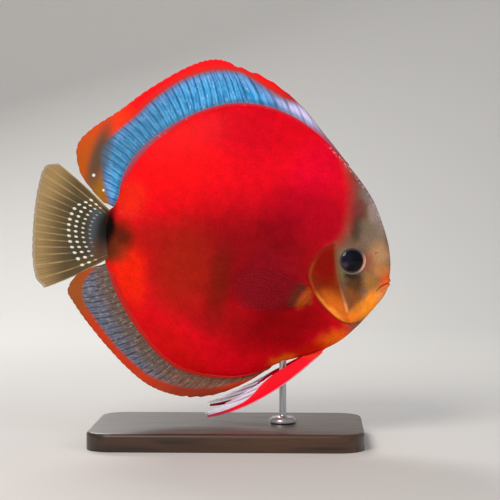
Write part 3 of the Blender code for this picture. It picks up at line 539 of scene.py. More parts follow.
HEAD_BLOTS = [
    (50, 29, 6.5, 14, -20, "#7C3A36", 0.8), (61, 24, 4, 12, 30, "#84706A", 0.8),
    (64, 18, 3.5, 10, 25, "#A28C82", 0.7), (54, 20, 4.4, 6, -20, "#70302E", 0.8),
    (54.5, 12.5, 4.4, 6.0, 0, "#3E2E22", 0.8), (62, 11.5, 6, 7, 0, "#7C6A5A", 0.8),
    (67.5, 2.5, 5.4, 6.8, 0, "#B4885E", 0.9), (63.4, -2, 3.2, 5, 0, "#98583C", 0.75),
    (50.7, -5, 3, 7.5, 12, "#766A42", 0.8), (58, -11.8, 4.4, 5.6, 0, "#46290F", 0.85),
    (56.2, -8.6, 3.6, 1.7, 0, "#2C221E", 0.8), (58.4, -20, 4.4, 7, 20, "#8E4816", 0.75),
    (65, -10.5, 4.4, 4.6, 0, "#A87236", 0.8), (66.4, -19.8, 10.5, 4.7, 50, "#FF9426", 0.97),
    (58, -28, 6, 3.6, 30, "#FF8620", 0.9), (70, -5, 4.5, 3.6, -20, "#C07A42", 0.85),
    (73, -10, 3.6, 4.8, 0, "#E25A20", 0.9), (71.0, -14.6, 5.0, 2.0, 52, "#F89A58", 0.65),
]
GILL_BLOTS = [(43.0, -5.0, 7.0, 11, 8, "#860E08", 0.97), (53, -25.0, 10, 6, -42, "#E2701E", 0.9)]
GILL_LIGHT = (50, -27.0, 12, 2.2, -36, "#FA9236", 0.9)
# Last come the marks that lie over all the others: a painted highlight at the lower end of the cheek bone, the
# gill slit, lips, root of the tail, lobe of the fin
LAST_MARKS = [
    (55.6, -23.4, 0.9, 2.6, 24, "#F09A58", 0.8),
    (stripe, "gill_line", 0.2, 0.6, "#6A1408", 0.35),
    (stripe, "mouth_line", 0.0, 0.4, "#94380F", 0.6),
    (-53.8, -14.6, 4.4, 6.4, 10, "#5A2812", 0.95),
    (-56.2, -5.0, 3.8, 11.5, -4, "#0C0806", 1.0),
    (LOBE_S - 3.4, LOBE_H + 3.6, 3.2, 3.4, 0, "#4A3A22", 0.6),
    (LOBE_S, LOBE_H, 4.6, 2.8, 60, "#A84A18", 0.9),
]
print("blots on the body and head:", len(BODY_BLOTS), "and", len(HEAD_BLOTS))

# %% [markdown]
# ## Living skin
# The head's paint and the body's paint are made apart and then joined along the brow line. The gill cover has its
# own brown, which is redder at the top and more orange below, a paler free edge, and the pale line of the cheek
# bone. Speckle and gloss are added last: noise a few tenths of a millimetre wide breaks the colour, and wet skin
# is smooth but never a mirror.

# %% Parts of the skin's paint
EYE_RIM = 5.6  # mm from the eye's middle to the rim of bare skin
DRIFT = 7.0  # mm between the two extremes of the noise that moves the blots


def drifting_place(tree):
    """The place in the fish's frame, drifting by a millimetre or two, so that no blot has a ruled edge."""
    noise = {"Vector": "place", "Scale": 0.09, "Detail": 4.0, "Roughness": 0.6}
    drift = node(tree, "TexNoise", noise, out="Color")
    centred = node(tree, "VectorMath", {0: drift, 1: (0.5, 0.5, 0.5)}, operation="SUBTRACT")
    return node(tree, "VectorMath", {0: centred, 1: (DRIFT, DRIFT, 0.0), 2: "place"}, operation="MULTIPLY_ADD")


def eye_ring(tree, under):
    """The thin rim of bare skin round the eye: grey behind, and pale rose in front and below."""
    away = node(tree, "VectorMath", {0: "place", 1: (EYE_S, EYE_H, 0)}, operation="SUBTRACT")
    flat = node(tree, "VectorMath", {0: away, 1: (1, 1, 0)}, operation="MULTIPLY")
    reach = node(tree, "VectorMath", {0: flat}, out="Value", operation="LENGTH")
    rim = blot(tree, "#6C6058", EYE_S + EYE_RIM, EYE_H - 0.4, 3.8, 4.4, 0, "#D49C8E", 1.0)
    return stripe(tree, under, reach, EYE_RIM, 0.8, rim, 0.9, core=0.3125)


def nape_ridge_highlight(tree, under):
    """Painted highlight: a broken chain of pale lilac beads where light from above catches the ridge of the nape,
    at the place where the back fin's blue runs out.
    """
    bead = node(tree, "TexNoise", {"Vector": "place", "Scale": 0.8, "Detail": 2.0})
    bead = node(tree, "MapRange", {"Value": bead, "From Min": 0.49, "From Max": 0.6})
    ridge = band(tree, under, "rim", -1.8, -0.5, lay(tree, under, "#BC9EA6", bead))
    nape = {"Value": ellipse(tree, "place", 53, 33, 22, 9, -50), "From Min": 1.2, "From Max": 0.8}
    return lay(tree, under, ridge, nape, "LINEAR")


def pigment_and_painted_light(tree):
    """The markings of the body and head, with painted light and shade among them: a glow and shade on the flank,
    and painted highlights on the ridge of the nape and at the cheek bone's lower end.
    """
    place = drifting_place(tree)
    body = paint_over(tree, BODY_RED, BODY_BLOTS, place)
    head = paint_over(tree, HEAD_TAN, HEAD_BLOTS, place)
    mixed = band(tree, body, "brow", -2.5, 6.0, head)
    edge = blot(tree, "#A8451B", 43, 0, 7, 9, 0, "#8A180A", 0.95, place)
    gill = [*GILL_BLOTS, (stripe, "gill_line", 0.9, 1.2, edge, 0.5), GILL_LIGHT]
    painted = band(tree, mixed, "gill", -0.5, 0.7, paint_over(tree, GILL_BROWN, gill, place))
    # The gill cover's paint stops at the cheek bone's edge, and the head's goes on
    painted = band(tree, painted, "cheek", -2.0, 2.0, mixed)
    bone = blot(tree, "#80522E", 55.6, -24, 4.4, 8, 20, "#E89A5E", 1.0, place)
    painted = stripe(tree, painted, "cheek_line", 0.0, 0.85, bone, 0.5)
    painted = paint_over(tree, painted, LAST_MARKS, place)
    # Last come the rim of bare skin round the eye and the painted highlight along the ridge of the nape
    return nape_ridge_highlight(tree, eye_ring(tree, painted))


print("the rim of bare skin runs", EYE_RIM, "mm from the middle of the eye")

# %% Material of the skin and scales
def skin_material():
    """Scaled fish skin, grown: pigmented skin under clear scales, with some light and shade painted into its
    colour. To the eye it is deep, even and softly wet.
    """
    made, tree, shader = start_material(
        "wet_fish_skin", Subsurface_Weight=0.10, Subsurface_Radius=(1.0, 0.25, 0.12), Subsurface_Scale=0.0015,
        IOR=1.38, Specular_IOR_Level=0.04, Coat_Weight=0.02, Coat_Roughness=0.2,
    )
    # A scale here counts features to the millimetre: speckles of 0.6 mm, mottling of 4.5 mm, a grain of 0.3 mm
    speckle = node(tree, "TexNoise", {"Vector": "place", "Scale": 1.6, "Detail": 3.0})
    mottle = node(tree, "TexNoise", {"Vector": "place", "Scale": 0.22, "Detail": 2.0})
    middle = {"From Min": 0.3, "From Max": 0.7}
    fine = node(tree, "MapRange", {"Value": speckle, **middle, "To Min": 0.84, "To Max": 1.1})
    wide = node(tree, "MapRange", {"Value": mottle, **middle, "To Min": 0.88, "To Max": 1.05})
    shade = node(tree, "Math", {0: fine, 1: wide}, operation="MULTIPLY")
    grain = node(tree, "TexNoise", {"Vector": "place", "Scale": 3.2, "Detail": 2.0})
    wire(
        shader,
        Base_Color=node(tree, "VectorMath", {0: pigment_and_painted_light(tree), "Scale": shade}, operation="SCALE"),
        Roughness=node(tree, "MapRange", {"Value": speckle, "To Min": 0.42, "To Max": 0.6}),
        Normal=node(tree, "Bump", {"Height": grain, "Strength": 0.12, "Distance": 0.0002}),
    )
    print(made.name, "has", len(tree.nodes), "nodes")
    return made


fish_skin = skin_material()
skin = settle(skin_mesh, "skin", fish_skin, head_lines=True)
FLESH_NODES = ("head", "lower_jaw", "gill_cover_right", "gill_cover_left", "torso", "caudal_peduncle")
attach(skin, "root")
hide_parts(*FLESH_NODES)

# %% [markdown]
# ## Fins: rays and web
# A fin is two things: stiff rays, and a thin web of skin between them. The long fins on the back and under the
# belly start with short hard spines and go on with soft rays. We describe a fin by a few key rays, from root to
# tip, and let the others follow smoothly. A place on a fin is then (u, v): u along the base and v from the root
# to the margin. Everything else, web, rays and colours, is made from that one description.

# %% Key rays of the fins
# A key ray is (root s, root h, tip s, tip h)
DORSAL_RAYS = [
    (46.8, 39.6, 45.7, 41.1), (38.5, 46.4, 33.6, 51.9), (28.5, 53.3, 20.7, 63.6), (16.0, 58.5, 5.4, 72.3),
    (4.0, 60.2, -8.0, 75.8), (-9.0, 59.2, -19.5, 77.6), (-22.0, 54.0, -31.2, 72.7), (-34.0, 45.5, -47.2, 60.1),
    (-43.0, 36.5, -59.8, 47.7), (-49.5, 28.0, -70.8, 38.0), (-52.7, 20.5, -76.2, 29.2),
    (-53.6, 13.5, -73.2, 18.0), (-54.0, 8.6, -66.0, 10.3), (-55.2, 5.0, -60.2, 5.8),
]
ANAL_RAYS = [
    (26.6, -55.4, 24.6, -57.8), (20.0, -59.8, 14.8, -65.8), (12.0, -63.0, 3.8, -72.2), (3.0, -64.4, -7.0, -75.2),
    (-7.0, -64.3, -17.8, -75.0), (-17.0, -62.2, -28.0, -72.4), (-26.0, -57.2, -38.6, -66.3),
    (-34.5, -49.7, -49.6, -57.8), (-41.6, -42.0, -59.6, -48.8), (-47.2, -34.6, -67.0, -41.0),
    (-51.0, -28.6, -70.3, -36.0), (-53.3, -23.8, -67.2, -28.6), (-54.5, -21.4, -59.6, -23.5),
]
CAUDAL_RAYS = [
    (-57.2, 2.5, -83.6, 20.1), (-58.0, 1.0, -89.4, 17.8), (-58.4, -2.0, -91.2, 9.4), (-58.3, -5.6, -91.3, -0.3),
    (-57.8, -9.2, -90.8, -8.5), (-57.2, -12.7, -89.8, -16.6), (-56.5, -15.9, -88.5, -24.8),
    (-56.0, -17.9, -85.8, -32.8), (-55.6, -19.6, -81.2, -36.9),
]
PECTORAL_RAYS = [
    (38.6, -17.2, 16.5, -8.8), (37.7, -18.9, 9.4, -12.0), (36.8, -20.6, 5.4, -17.6), (35.8, -22.3, 5.2, -23.6),
    (34.8, -24.0, 8.4, -28.6), (33.8, -25.7, 14.0, -31.2),
]
# Pelvic rays curve, so a key ray is (root, bend, tip)
PELVIC_RAYS = [
    (48.2, -45.0, 25.7, -74.3, 2.4, -80.9), (47.2, -45.6, 24.5, -71.5, 1.0, -79.4),
    (46.0, -46.2, 25.4, -67.6, 6.6, -75.8), (44.6, -46.8, 27.4, -62.8, 13.0, -70.8),
    (43.0, -47.5, 29.8, -58.8, 19.8, -65.6), (41.0, -48.3, 33.2, -54.4, 26.4, -59.8),
]
SPINY_SHARE = {"dorsal": 0.40, "anal": 0.30}
SPINES = {"dorsal": 9, "anal": 8}
SOFT_RAYS = {"dorsal": 30, "anal": 28}
RAY_COUNTS = {"caudal": 16, "pectoral": 12, "pelvic": 6}


def ray_family(keys):
    """A function of u that gives the key rays' numbers, u being the share passed along the fin's base."""
    family = curve_through(keys, 8)
    steps = np.hypot(*np.diff(family[:, :2], axis=0).T)
    passed = np.concatenate([[0], np.cumsum(steps)]) / steps.sum()
    return lambda u: np.stack([np.interp(u, passed, column) for column in family.T], axis=-1)


def ray_places(kind):
    """The u of every ray of a fin, in order."""
    if kind in RAY_COUNTS:
        return np.linspace(0, 1, RAY_COUNTS[kind])
    spines = np.linspace(0, SPINY_SHARE[kind] - 0.002, SPINES[kind])
    step = (1 - SPINY_SHARE[kind]) / (SOFT_RAYS[kind] - 0.5)
    return np.concatenate([spines, np.linspace(SPINY_SHARE[kind] + 0.5 * step, 1, SOFT_RAYS[kind])])


print("rays of the dorsal fin:", len(ray_places("dorsal")), "of the tail:", len(ray_places("caudal")))

# %% [markdown]
# The three fins in the mid plane bow a little along their rays and ripple across them, as a flag does in wind.
# The breast fins fan out from the flank behind the gill cover, and the belly fins curve back under the body.

# %% Middle surfaces of the fins
PECTORAL_OUT, PELVIC_OUT = math.tan(math.radians(24.0)), math.tan(math.radians(12.0))
PECTORAL_CUP = 0.5  # mm
PELVIC_ROOT_Y, PELVIC_ROOT_SPREAD, LEFT_PELVIC_LIFT = 2.4, 0.8, math.radians(1.5)


def median_place(keys, bows, ripple, flare=0.0):
    """The middle surface of a fin in the mid plane, as a function of arrays u and v. ripple is its height
    in mm and how many waves there are along the fin, and flare the height of the small waves at the margin."""
    ray = ray_family(keys)

    def place(u, v):
        root_s, root_h, tip_s, tip_h = np.moveaxis(ray(u), -1, 0)
        along_s, along_h = tip_s - root_s, tip_h - root_h
        bow = (bows[0] + (bows[1] - bows[0]) * u) * np.sin(math.pi * np.clip(v, 0, 1))
        swing = ripple[0] * v**2 * np.sin(ripple[1] * 2 * math.pi * u) * (v > 0)
        small = flare * v**3 * np.sin(61 * u + 1.0) * (v > 0)
        s, h = root_s + along_s * v + along_h * bow, root_h + along_h * v - along_s * bow
        return np.stack([s, swing + small, h], -1)

    return place


def pectoral_place(side):
    """A fan behind the gill cover, held out from the flank and slightly cupped."""
    ray = ray_family(PECTORAL_RAYS)

    def place(u, v):
        root_s, root_h, tip_s, tip_h = np.moveaxis(ray(u), -1, 0)
        s, h = (tip_s - root_s) * v, (tip_h - root_h) * v
        out = half_width(root_s, root_h) + np.hypot(s, h) * PECTORAL_OUT * np.where(v < 0, 0.2, 1)
        out = out - PECTORAL_CUP * np.sin(math.pi * np.clip(v, 0, 1))
        return np.stack([root_s + s, side * out, root_h + h], -1)

    return place


def pelvic_place(side, lift):
    """A long pointed fin under the belly, held a little away from the mid plane."""
    ray = ray_family(PELVIC_RAYS)

    def place(u, v):
        key = np.moveaxis(ray(u), -1, 0)
        a, b, c = (1 - v) ** 2, 2 * v * (1 - v), v * v
        s = a * key[0] + b * key[2] + c * key[4] - key[0]
        h = a * key[1] + b * key[3] + c * key[5] - key[1]
        s, h = s * math.cos(lift) + h * math.sin(lift), h * math.cos(lift) - s * math.sin(lift)
        out = PELVIC_ROOT_Y + PELVIC_ROOT_SPREAD * u + np.hypot(s, h) * PELVIC_OUT
        return np.stack([key[0] + s, side * out, key[1] + h], -1)

    return place


DORSAL = median_place(DORSAL_RAYS, (0.04, 0.04), (0.7, 2.5), 0.12)
ANAL = median_place(ANAL_RAYS, (-0.05, -0.05), (0.6, 2.0), 0.10)
CAUDAL = median_place(CAUDAL_RAYS, (0.02, -0.025), (0.9, 1.0), 0.10)
halfway_ray = np.linalg.norm(DORSAL(0.5, 1.0) - DORSAL(0.5, 0.0))
print("a ray halfway along the dorsal fin is", halfway_ray.round(1), "mm long")

# %% [markdown]
# ## The web
# The web is a closed sheet: two faces a few tenths of a millimetre apart, thick and fleshy where it leaves the
# body and thin at the margin. Its columns follow the rays, so between two rays the margin can draw back in a
# small scallop, deep between spines and shallow between soft rays. With every point go the measures its colours
# need: which ray it is near, how far it is from the body, from the margin, and from the line where the red
# border begins.

# %% Sheets for the webs
COLUMNS_PER_RAY = 8


def outwards(mesh):
    """Turns all faces of a closed mesh to face out."""
    made = bmesh.new()
    made.from_mesh(mesh)
    bmesh.ops.recalc_face_normals(made, faces=made.faces)
    if made.calc_volume(signed=True) < 0:
        bmesh.ops.reverse_faces(made, faces=made.faces)
    made.to_mesh(mesh)
    made.free()


def across_of(middle, face_out=None):
    """The direction across the sheet at each point of its middle: to the fish's left, or as face_out says."""
    if face_out is not None:
        return np.broadcast_to(np.array(face_out) / np.linalg.norm(face_out), middle.shape)
    across = np.cross(np.gradient(middle, axis=1), np.gradient(middle, axis=0))
    across /= np.linalg.norm(across, axis=2)[:, :, None] + 1e-12
    return -across if across[:, :, 1].sum() < 0 else across


def sheet_faces(columns, rows):
    """The faces of a closed sheet of two grids, one behind the other: both sides, then the four edges."""
    far = columns * rows
    i, j = [a.ravel() for a in np.meshgrid(np.arange(columns - 1), np.arange(rows - 1), indexing="ij")]
    a, b = i * rows + j, (i + 1) * rows + j
    root, first = np.arange(columns - 1) * rows, np.arange(rows - 1)
    tip, last = root + rows - 1, first + (columns - 1) * rows
    return np.concatenate([np.stack(corners, 1) for corners in (
        (a, b, b + 1, a + 1), (a + far, a + 1 + far, b + 1 + far, b + far),
        (root, root + far, root + rows + far, root + rows), (tip, tip + rows, tip + rows + far, tip + far),
        (first, first + 1, first + 1 + far, first + far), (last, last + far, last + 1 + far, last + 1),
    )])


def sheet(name, place, rays, rows, halves, scallop, face_out=None, taper=np.ones_like):
    """A closed web through the rays. rows holds the v of its rows, halves their half thicknesses, and
    scallop(u) the share of the length by which the margin draws back between two rays. face_out, where
    it is given, is the direction of the sheet's own front, and taper(u) thins the sheet along its base.
    Returns the mesh with its measures stored."""
    phase = np.linspace(0, len(rays) - 1, (len(rays) - 1) * COLUMNS_PER_RAY + 1)
    u = np.interp(phase, np.arange(len(rays)), rays)
    between = np.sin(math.pi * (phase % 1)) ** 2
    reach = 1 - (scallop(u) * between)[:, None] * smooth(rows / 0.9)
    v = rows * np.where(rows > 0, reach, 1)
    grid_u = np.repeat(u[:, None], len(rows), axis=1)
    middle = place(grid_u, v)
    half = across_of(middle, face_out) * (halves * taper(u)[:, None])[:, :, None]
    mesh = bpy.data.meshes.new(name)
    points = np.concatenate([(middle - half).reshape(-1, 3), (middle + half).reshape(-1, 3)])
    mesh.from_pydata(points.tolist(), [], sheet_faces(*v.shape).tolist())
    outwards(mesh)
    number = np.repeat(phase[:, None], len(rows), axis=1)
    length = np.linalg.norm(place(grid_u, np.ones_like(v)) - place(grid_u, np.zeros_like(v)), axis=2)
    measures = {"ray": np.abs(number - np.round(number)), "number": number, "reach": v, "edge": (1 - v) * length}
    for key, values in measures.items():
        keep(mesh, key, np.tile(values.ravel(), 2))
    return mesh


print("columns of the dorsal web:", (len(ray_places("dorsal")) - 1) * COLUMNS_PER_RAY + 1)

# %% [markdown]
# ## Rays
# Each ray is a tapering rod that shows as a fine ridge on both faces of the web. Soft rays fork on the way to
# the margin, as a discus's do. The rods' middle lines are made as bare edges, with a radius stored at every
# point, and one node tree turns them into solid rods: Mesh to Curve, Set Curve Radius, Curve to Mesh. Instancing
# a ready-made rod wouldn't do here, because each ray has its own bend, length and forks.

# %% A node tree that turns lines into rods
def tree_of(name, sockets):
    """A geometry tree with the named inputs, the outputs that give them inside it, and its result's inputs."""
    tree = bpy.data.node_groups.new(name, "GeometryNodeTree")
    tree.interface.new_socket("Geometry", in_out="INPUT", socket_type="NodeSocketGeometry")
    tree.interface.new_socket("Geometry", in_out="OUTPUT", socket_type="NodeSocketGeometry")
    for label, kind in sockets.items():
        tree.interface.new_socket(label, in_out="INPUT", socket_type="NodeSocket" + kind)
    return tree, tree.nodes.new("NodeGroupInput").outputs, tree.nodes.new("NodeGroupOutput").inputs


def apply_tree(obj, tree, values):
    """Runs a geometry tree on an object, and keeps the result as its plain mesh. A modifier knows its inputs
    by their sockets' identifiers, not by the names that we gave them."""
    modifier = obj.modifiers.new(tree.name, "NODES")
    modifier.node_group = tree
    for item in tree.interface.items_tree:
        if item.in_out == "INPUT" and item.name in values:
            modifier[item.identifier] = values[item.name]
    graph = bpy.context.evaluated_depsgraph_get()
    made = bpy.data.meshes.new_from_object(obj.evaluated_get(graph))
    obj.modifiers.clear()
    obj.data = made


def rod_tree():
    """Rods along the lines, joined with the web that they stiffen."""
    tree, given, out = tree_of("rods_from_lines", {"Material": "Material", "Sides": "Int", "Web": "Object"})
    radius = node(tree, "GeometryNodeInputNamedAttribute", {"Name": "radius_mm"}, data_type="FLOAT")
    curve = node(tree, "GeometryNodeMeshToCurve", {0: given["Geometry"]})
    curve = node(tree, "GeometryNodeSetCurveRadius", {"Curve": curve, "Radius": radius})
    ring = node(tree, "GeometryNodeCurvePrimitiveCircle", {"Resolution": given["Sides"], "Radius": 1.0})
    rods = {"Curve": curve, "Profile Curve": ring, "Scale": radius, "Fill Caps": True}
    whole = node(tree, "GeometryNodeJoinGeometry", {0: node(tree, "GeometryNodeCurveToMesh", rods)})
    web = node(tree, "GeometryNodeObjectInfo", {"Object": given["Web"]}, out="Geometry")
    tree.links.new(web, whole.node.inputs[0])
    painted = node(tree, "GeometryNodeSetMaterial", {"Geometry": whole, "Material": given["Material"]})
    tree.links.new(node(tree, "GeometryNodeRealizeInstances", {0: painted}), out[0])
    return tree


line_to_rod = rod_tree()
print(line_to_rod.name, "has", len(line_to_rod.nodes), "nodes")

# %% Lines along the rays
FORK_SPREAD = 0.30  # how far the outermost tips spread, as a share of the gap between two rays


def forks(u, gap, tips, start):
    """The lines of a ray that forks: for each tip, a function of v that gives its u."""
    spread = np.linspace(-1, 1, tips) if tips > 1 else np.zeros(1)
    return [lambda v, side=side: u + side * FORK_SPREAD * gap * smooth((v - start) / (1.05 - start))
            for side in spread]


def ray_lines(name, place, kind, root_v, radii, tips, ends=lambda k: 1.0, steps=22, fork_at=0.45):
    """Lines along every ray of a fin. radii holds the radius at the root and at the tip, tips is a function
    of the ray's number that gives how many tips it forks into, and ends one for how far it reaches in v."""
    rays = ray_places(kind)
    lines, edges, radius, number, along = [], [], [], [], []
    for k, u in enumerate(rays):
        gap = np.diff(rays)[max(k - 1, 0) : k + 1].min()
        for lane, fork in enumerate(forks(u, gap, tips(k), fork_at)):
            v = np.linspace(fork_at if lane else root_v, ends(k), steps)
            lines.append(place(fork(v), v))
            edges += [(len(radius) + i, len(radius) + i + 1) for i in range(steps - 1)]
            radius += (radii[0] + (radii[1] - radii[0]) * np.clip(v / ends(k), 0, 1) ** 0.8).tolist()
            number += [k] * steps
            along += v.tolist()
    mesh = bpy.data.meshes.new(name)
    mesh.from_pydata(np.concatenate(lines).tolist(), edges, [])
    for key, values in (("radius_mm", radius), ("number", number), ("reach", along)):
        keep(mesh, key, values)
    return mesh


def tips_of(kind):
    """How many tips each ray forks into: one for a spine, then two or three."""
    return lambda k: 1 if k < SPINES[kind] else (2 if k % 2 else 3)


print("tips of the first dorsal rays:", [tips_of("dorsal")(k) for k in range(12)])

# %% [markdown]
# ## Paint for the fins
# Fin colour follows the rays: streaks of light and dark run from the body outwards. So the stripes are counted
# in rays, not in millimetres, and they fan out with the fin by themselves. Borders are bands of distance from
# the body or from the line where the red begins. The web's Alpha is below one, as thin skin lets light through:
# only just in the long fins, and far below it in the clear breast fins. The rods in the web stay nearly solid.

# %% Brushes that follow the rays
FULL_TURN = 2 * math.pi
RIBS_PER_RAY = 5


def fibres(tree, per_ray, length):
    """Noise drawn out along the rays: that many fibres to each ray, and about length mm long."""
    across = node(tree, "Math", {0: "number", 1: per_ray}, operation="MULTIPLY")
    along = node(tree, "Math", {0: "rim", 1: 1 / length}, operation="MULTIPLY")
    spot = node(tree, "CombineXYZ", {0: across, 1: along})
    return node(tree, "TexNoise", {"Vector": spot, "Scale": 1.0, "Detail": 3.0, "Roughness": 0.6})


def flecks(tree, under, per_ray, length, low, high, code, strength):
    """Paints broken streaks along the rays."""
    return band(tree, under, fibres(tree, per_ray, length), low, high, code, strength)


def streaks(tree, under, per_ray, low, high, code, strength, wander=0.3):
    """Paints stripes along the rays, that many to each. They wander, and fade and come back, as the colour of a
    real fin does.
    """
    bent = node(tree, "Math", {0: fibres(tree, 0.9, 6.0), 1: wander, 2: "number"}, operation="MULTIPLY_ADD")
    turned = {0: bent, 1: per_ray * FULL_TURN, 2: -wander * per_ray / 2 * FULL_TURN}
    turned = node(tree, "Math", turned, operation="MULTIPLY_ADD")
    wave = node(tree, "Math", {0: turned}, operation="COSINE")
    fade = {"Value": wave, "From Min": low, "From Max": high, "To Max": strength}
    cover = node(tree, "MapRange", fade, interpolation_type="SMOOTHSTEP")
    worn = {"Value": fibres(tree, 1.3, 5.0), "From Min": 0.3, "From Max": 0.55, "To Min": 0.35}
    worn = node(tree, "MapRange", worn)
    return lay(tree, under, code, node(tree, "Math", {0: cover, 1: worn}, operation="MULTIPLY"))


def spots(tree, under):
    """Pale spots on the tail's rays: row counts the rows outwards, and ray is 0 on a ray's middle."""
    size = node(tree, "MapRange", {"Value": "row", "From Max": 3.0, "To Min": 0.15, "To Max": 0.22})
    row = node(tree, "Math", {0: "row"}, operation="FRACT")
    along = node(tree, "Math", {0: row, 1: 0.5}, operation="SUBTRACT")
    along = node(tree, "Math", {0: along, 1: 0.85}, operation="MULTIPLY")
    away = node(tree, "CombineXYZ", {0: "ray", 1: along})
    away = node(tree, "VectorMath", {0: away}, out="Value", operation="LENGTH")
    radii = node(tree, "Math", {0: away, 1: size}, operation="DIVIDE")
    inside = node(tree, "MapRange", {"Value": radii, "From Min": 1.2, "From Max": 0.8})
    inside = node(tree, "Math", {0: inside, 1: "spotted"}, operation="MULTIPLY")
    return lay(tree, under, band(tree, "#7C8490", "row", 0.0, 2.2, "#E4DECC"), inside)


def start_fin(name, **changes):
    """Fin skin, grown: a film of tissue and mucus. To the eye it is soft, and a little light passes through."""
    tissue = {
        "Roughness": 0.45, "IOR": 1.38, "Specular_IOR_Level": 0.2, "Coat_Weight": 0.02,
        "Subsurface_Weight": 0.06, "Subsurface_Radius": (0.8, 0.4, 0.4), "Subsurface_Scale": 0.0006,
    }
    return start_material(name, **{**tissue, **changes})


def finish_fin(tree, shader, painted, web=0.985, margin=0.86, margin_width=1.0, rod=1.0):
    """Links the colour, and the fine ribbing that the web's own fibres make along the rays. Alpha is web in
    the web, easing to margin over margin_width mm at its edge, and rod in the rods."""
    fade = {"Value": "edge", "From Min": 0.0, "From Max": margin_width, "To Min": margin, "To Max": web}
    fade = node(tree, "MapRange", fade)
    rods = node(tree, "Math", {0: "rod", 1: rod}, operation="MULTIPLY")
    ribs = node(tree, "Math", {0: "number", 1: RIBS_PER_RAY * FULL_TURN}, operation="MULTIPLY")
    ribs = node(tree, "Math", {0: ribs}, operation="COSINE")
    wire(
        shader,
        Base_Color=painted,
        Alpha=node(tree, "Math", {0: fade, 1: rods}, operation="MAXIMUM"),
        Normal=node(tree, "Bump", {"Height": ribs, "Strength": 0.25, "Distance": 0.0001}),
    )


print("brushes along the rays:", ", ".join(brush.__name__ for brush in (flecks, streaks, spots)))

# %% [markdown]
# The back fin is sky blue inside a red border, paler and more lilac towards the nape. The anal fin, under the
# belly, is greyer and passes into an orange-red border. Each has one table of strokes for the web and a second
# for its margin, and the measure called border says where the one becomes the other.

# %% Paint of the back fin and the anal fin
DORSAL_WEB = [
    (flecks, 1.7, 9.0, 0.40, 0.60, "#56B0EA", 0.9),
    (band, "border", -6.0, -1.0, "#7E8FD2", 0.45),
    (31, 57, 31, 12, -42, "#CDBFE8", 0.97),
    (flecks, 3.1, 4.0, 0.56, 0.70, "#8ECBF0", 0.7),
    (streaks, 1.0, 0.45, 0.95, "#1A4C70", 0.8),
    (streaks, 2.0, 0.70, 0.98, "#1C5C88", 0.5),
    (32, 56, 25, 9, -42, "#D6CCF2", 0.5),
    # Darker teal over the last 3 mm to the body: partly the fin's own colour and partly painted shade where the
    # fin rises out of the back
    (band, "rim", 3.0, 0.6, "#2A4F6C", 0.6),
    (band, "rim", 0.45, -0.35, "#C00C18", 0.95),
]
DORSAL_FRONT = [(38, 48.5, 12, 5, -44, "#967480", 0.95), (band, "rim", 1.9, 0.2, "#C83A54", 0.9)]
DORSAL_REAR = [
    (flecks, 2.3, 3.0, 0.60, 0.74, "#E4DEF4", 0.4),
    (band, "border", -2.4, -0.4, "#52505A", 0.5),
    (-63.5, 27, 3.6, 18, -6, "#4C4840", 0.8),
    (-50, 36, 26, 9, 52, "#3E647E", 0.45),
]
DORSAL_MARGIN = [
    (28, 60, 34, 9, -46, "#B00C1A", 0.85),
    (band, "border", 3.4, -0.6, "#7A3A2C", 0.7),
    (-66, 42, 14, 12, 40, "#E83A0E", 0.95),
    (-71, 22, 11, 19, -10, "#B44E04", 1.0),
    (-62, 11, 8, 9, 0, "#94600F", 1.0),
    (-65.6, 26, 4.2, 17, -8, "#544232", 0.95),
]
DORSAL_DOTS = [(-66.5, 17.3, 0.75, 0.75, 0, "#F0EEE2", 1.0), (-61.0, 11.3, 0.6, 0.6, 0, "#F0EEE2", 1.0)]
ANAL_WEB = [
    (flecks, 1.7, 8.0, 0.42, 0.62, "#626C84", 0.85),
    (flecks, 3.1, 2.5, 0.52, 0.68, "#8690A8", 0.65),
    (streaks, 1.0, 0.1, 0.98, "#3A3C48", 0.75),
    (streaks, 2.0, 0.4, 0.98, "#444854", 0.6),
    (band, "rim", 10.0, 3.0, "#665040", 0.85),
    (4, -68, 28, 8, 0, "#7C5240", 0.85),
    (streaks, 1.0, 0.5, 0.98, "#4A2A24", 0.5),
    (flecks, 2.6, 2.5, 0.52, 0.66, "#A09484", 0.5),
    (flecks, 2.1, 3.0, 0.46, 0.34, "#33291F", 0.55),
    (band, "rim", 0.6, -0.2, "#B8180F", 0.95),
]
ANAL_MARGIN = [(-68, -36, 14, 15, 20, "#924A18", 0.95), (0, -73, 26, 5, 0, "#86301E", 0.8)]


def dorsal_material():
    """The back fin's skin: blue iridescent streaks between fin rays, inside a red border."""
    made, tree, shader = start_fin("blue_streaked_fin_skin")
    paint = paint_over(tree, "#2C86C0", DORSAL_WEB)
    front = paint_over(tree, paint, DORSAL_FRONT)
    paint = paint_over(tree, paint, [(38.5, 48, 13, 7, -44, front, 1.0), *DORSAL_REAR])
    margin = paint_over(tree, "#F2060F", DORSAL_MARGIN)
    finish_fin(tree, shader, paint_over(tree, paint, [(band, "border", -1.2, 1.0, margin), *DORSAL_DOTS]))
    return made


def anal_material():
    """The anal fin's skin: grey-blue streaks that pass into an orange-red border."""
    made, tree, shader = start_fin("grey_streaked_fin_skin")
    paint = paint_over(tree, "#5A6070", ANAL_WEB)
    margin = paint_over(tree, "#BE3410", ANAL_MARGIN)
    finish_fin(tree, shader, band(tree, paint, "border", -1.2, 0.8, margin))
    return made


blue_skin, grey_skin = dorsal_material(), anal_material()
print("nodes for the back fin:", len(blue_skin.node_tree.nodes), "the anal fin:", len(grey_skin.node_tree.nodes))

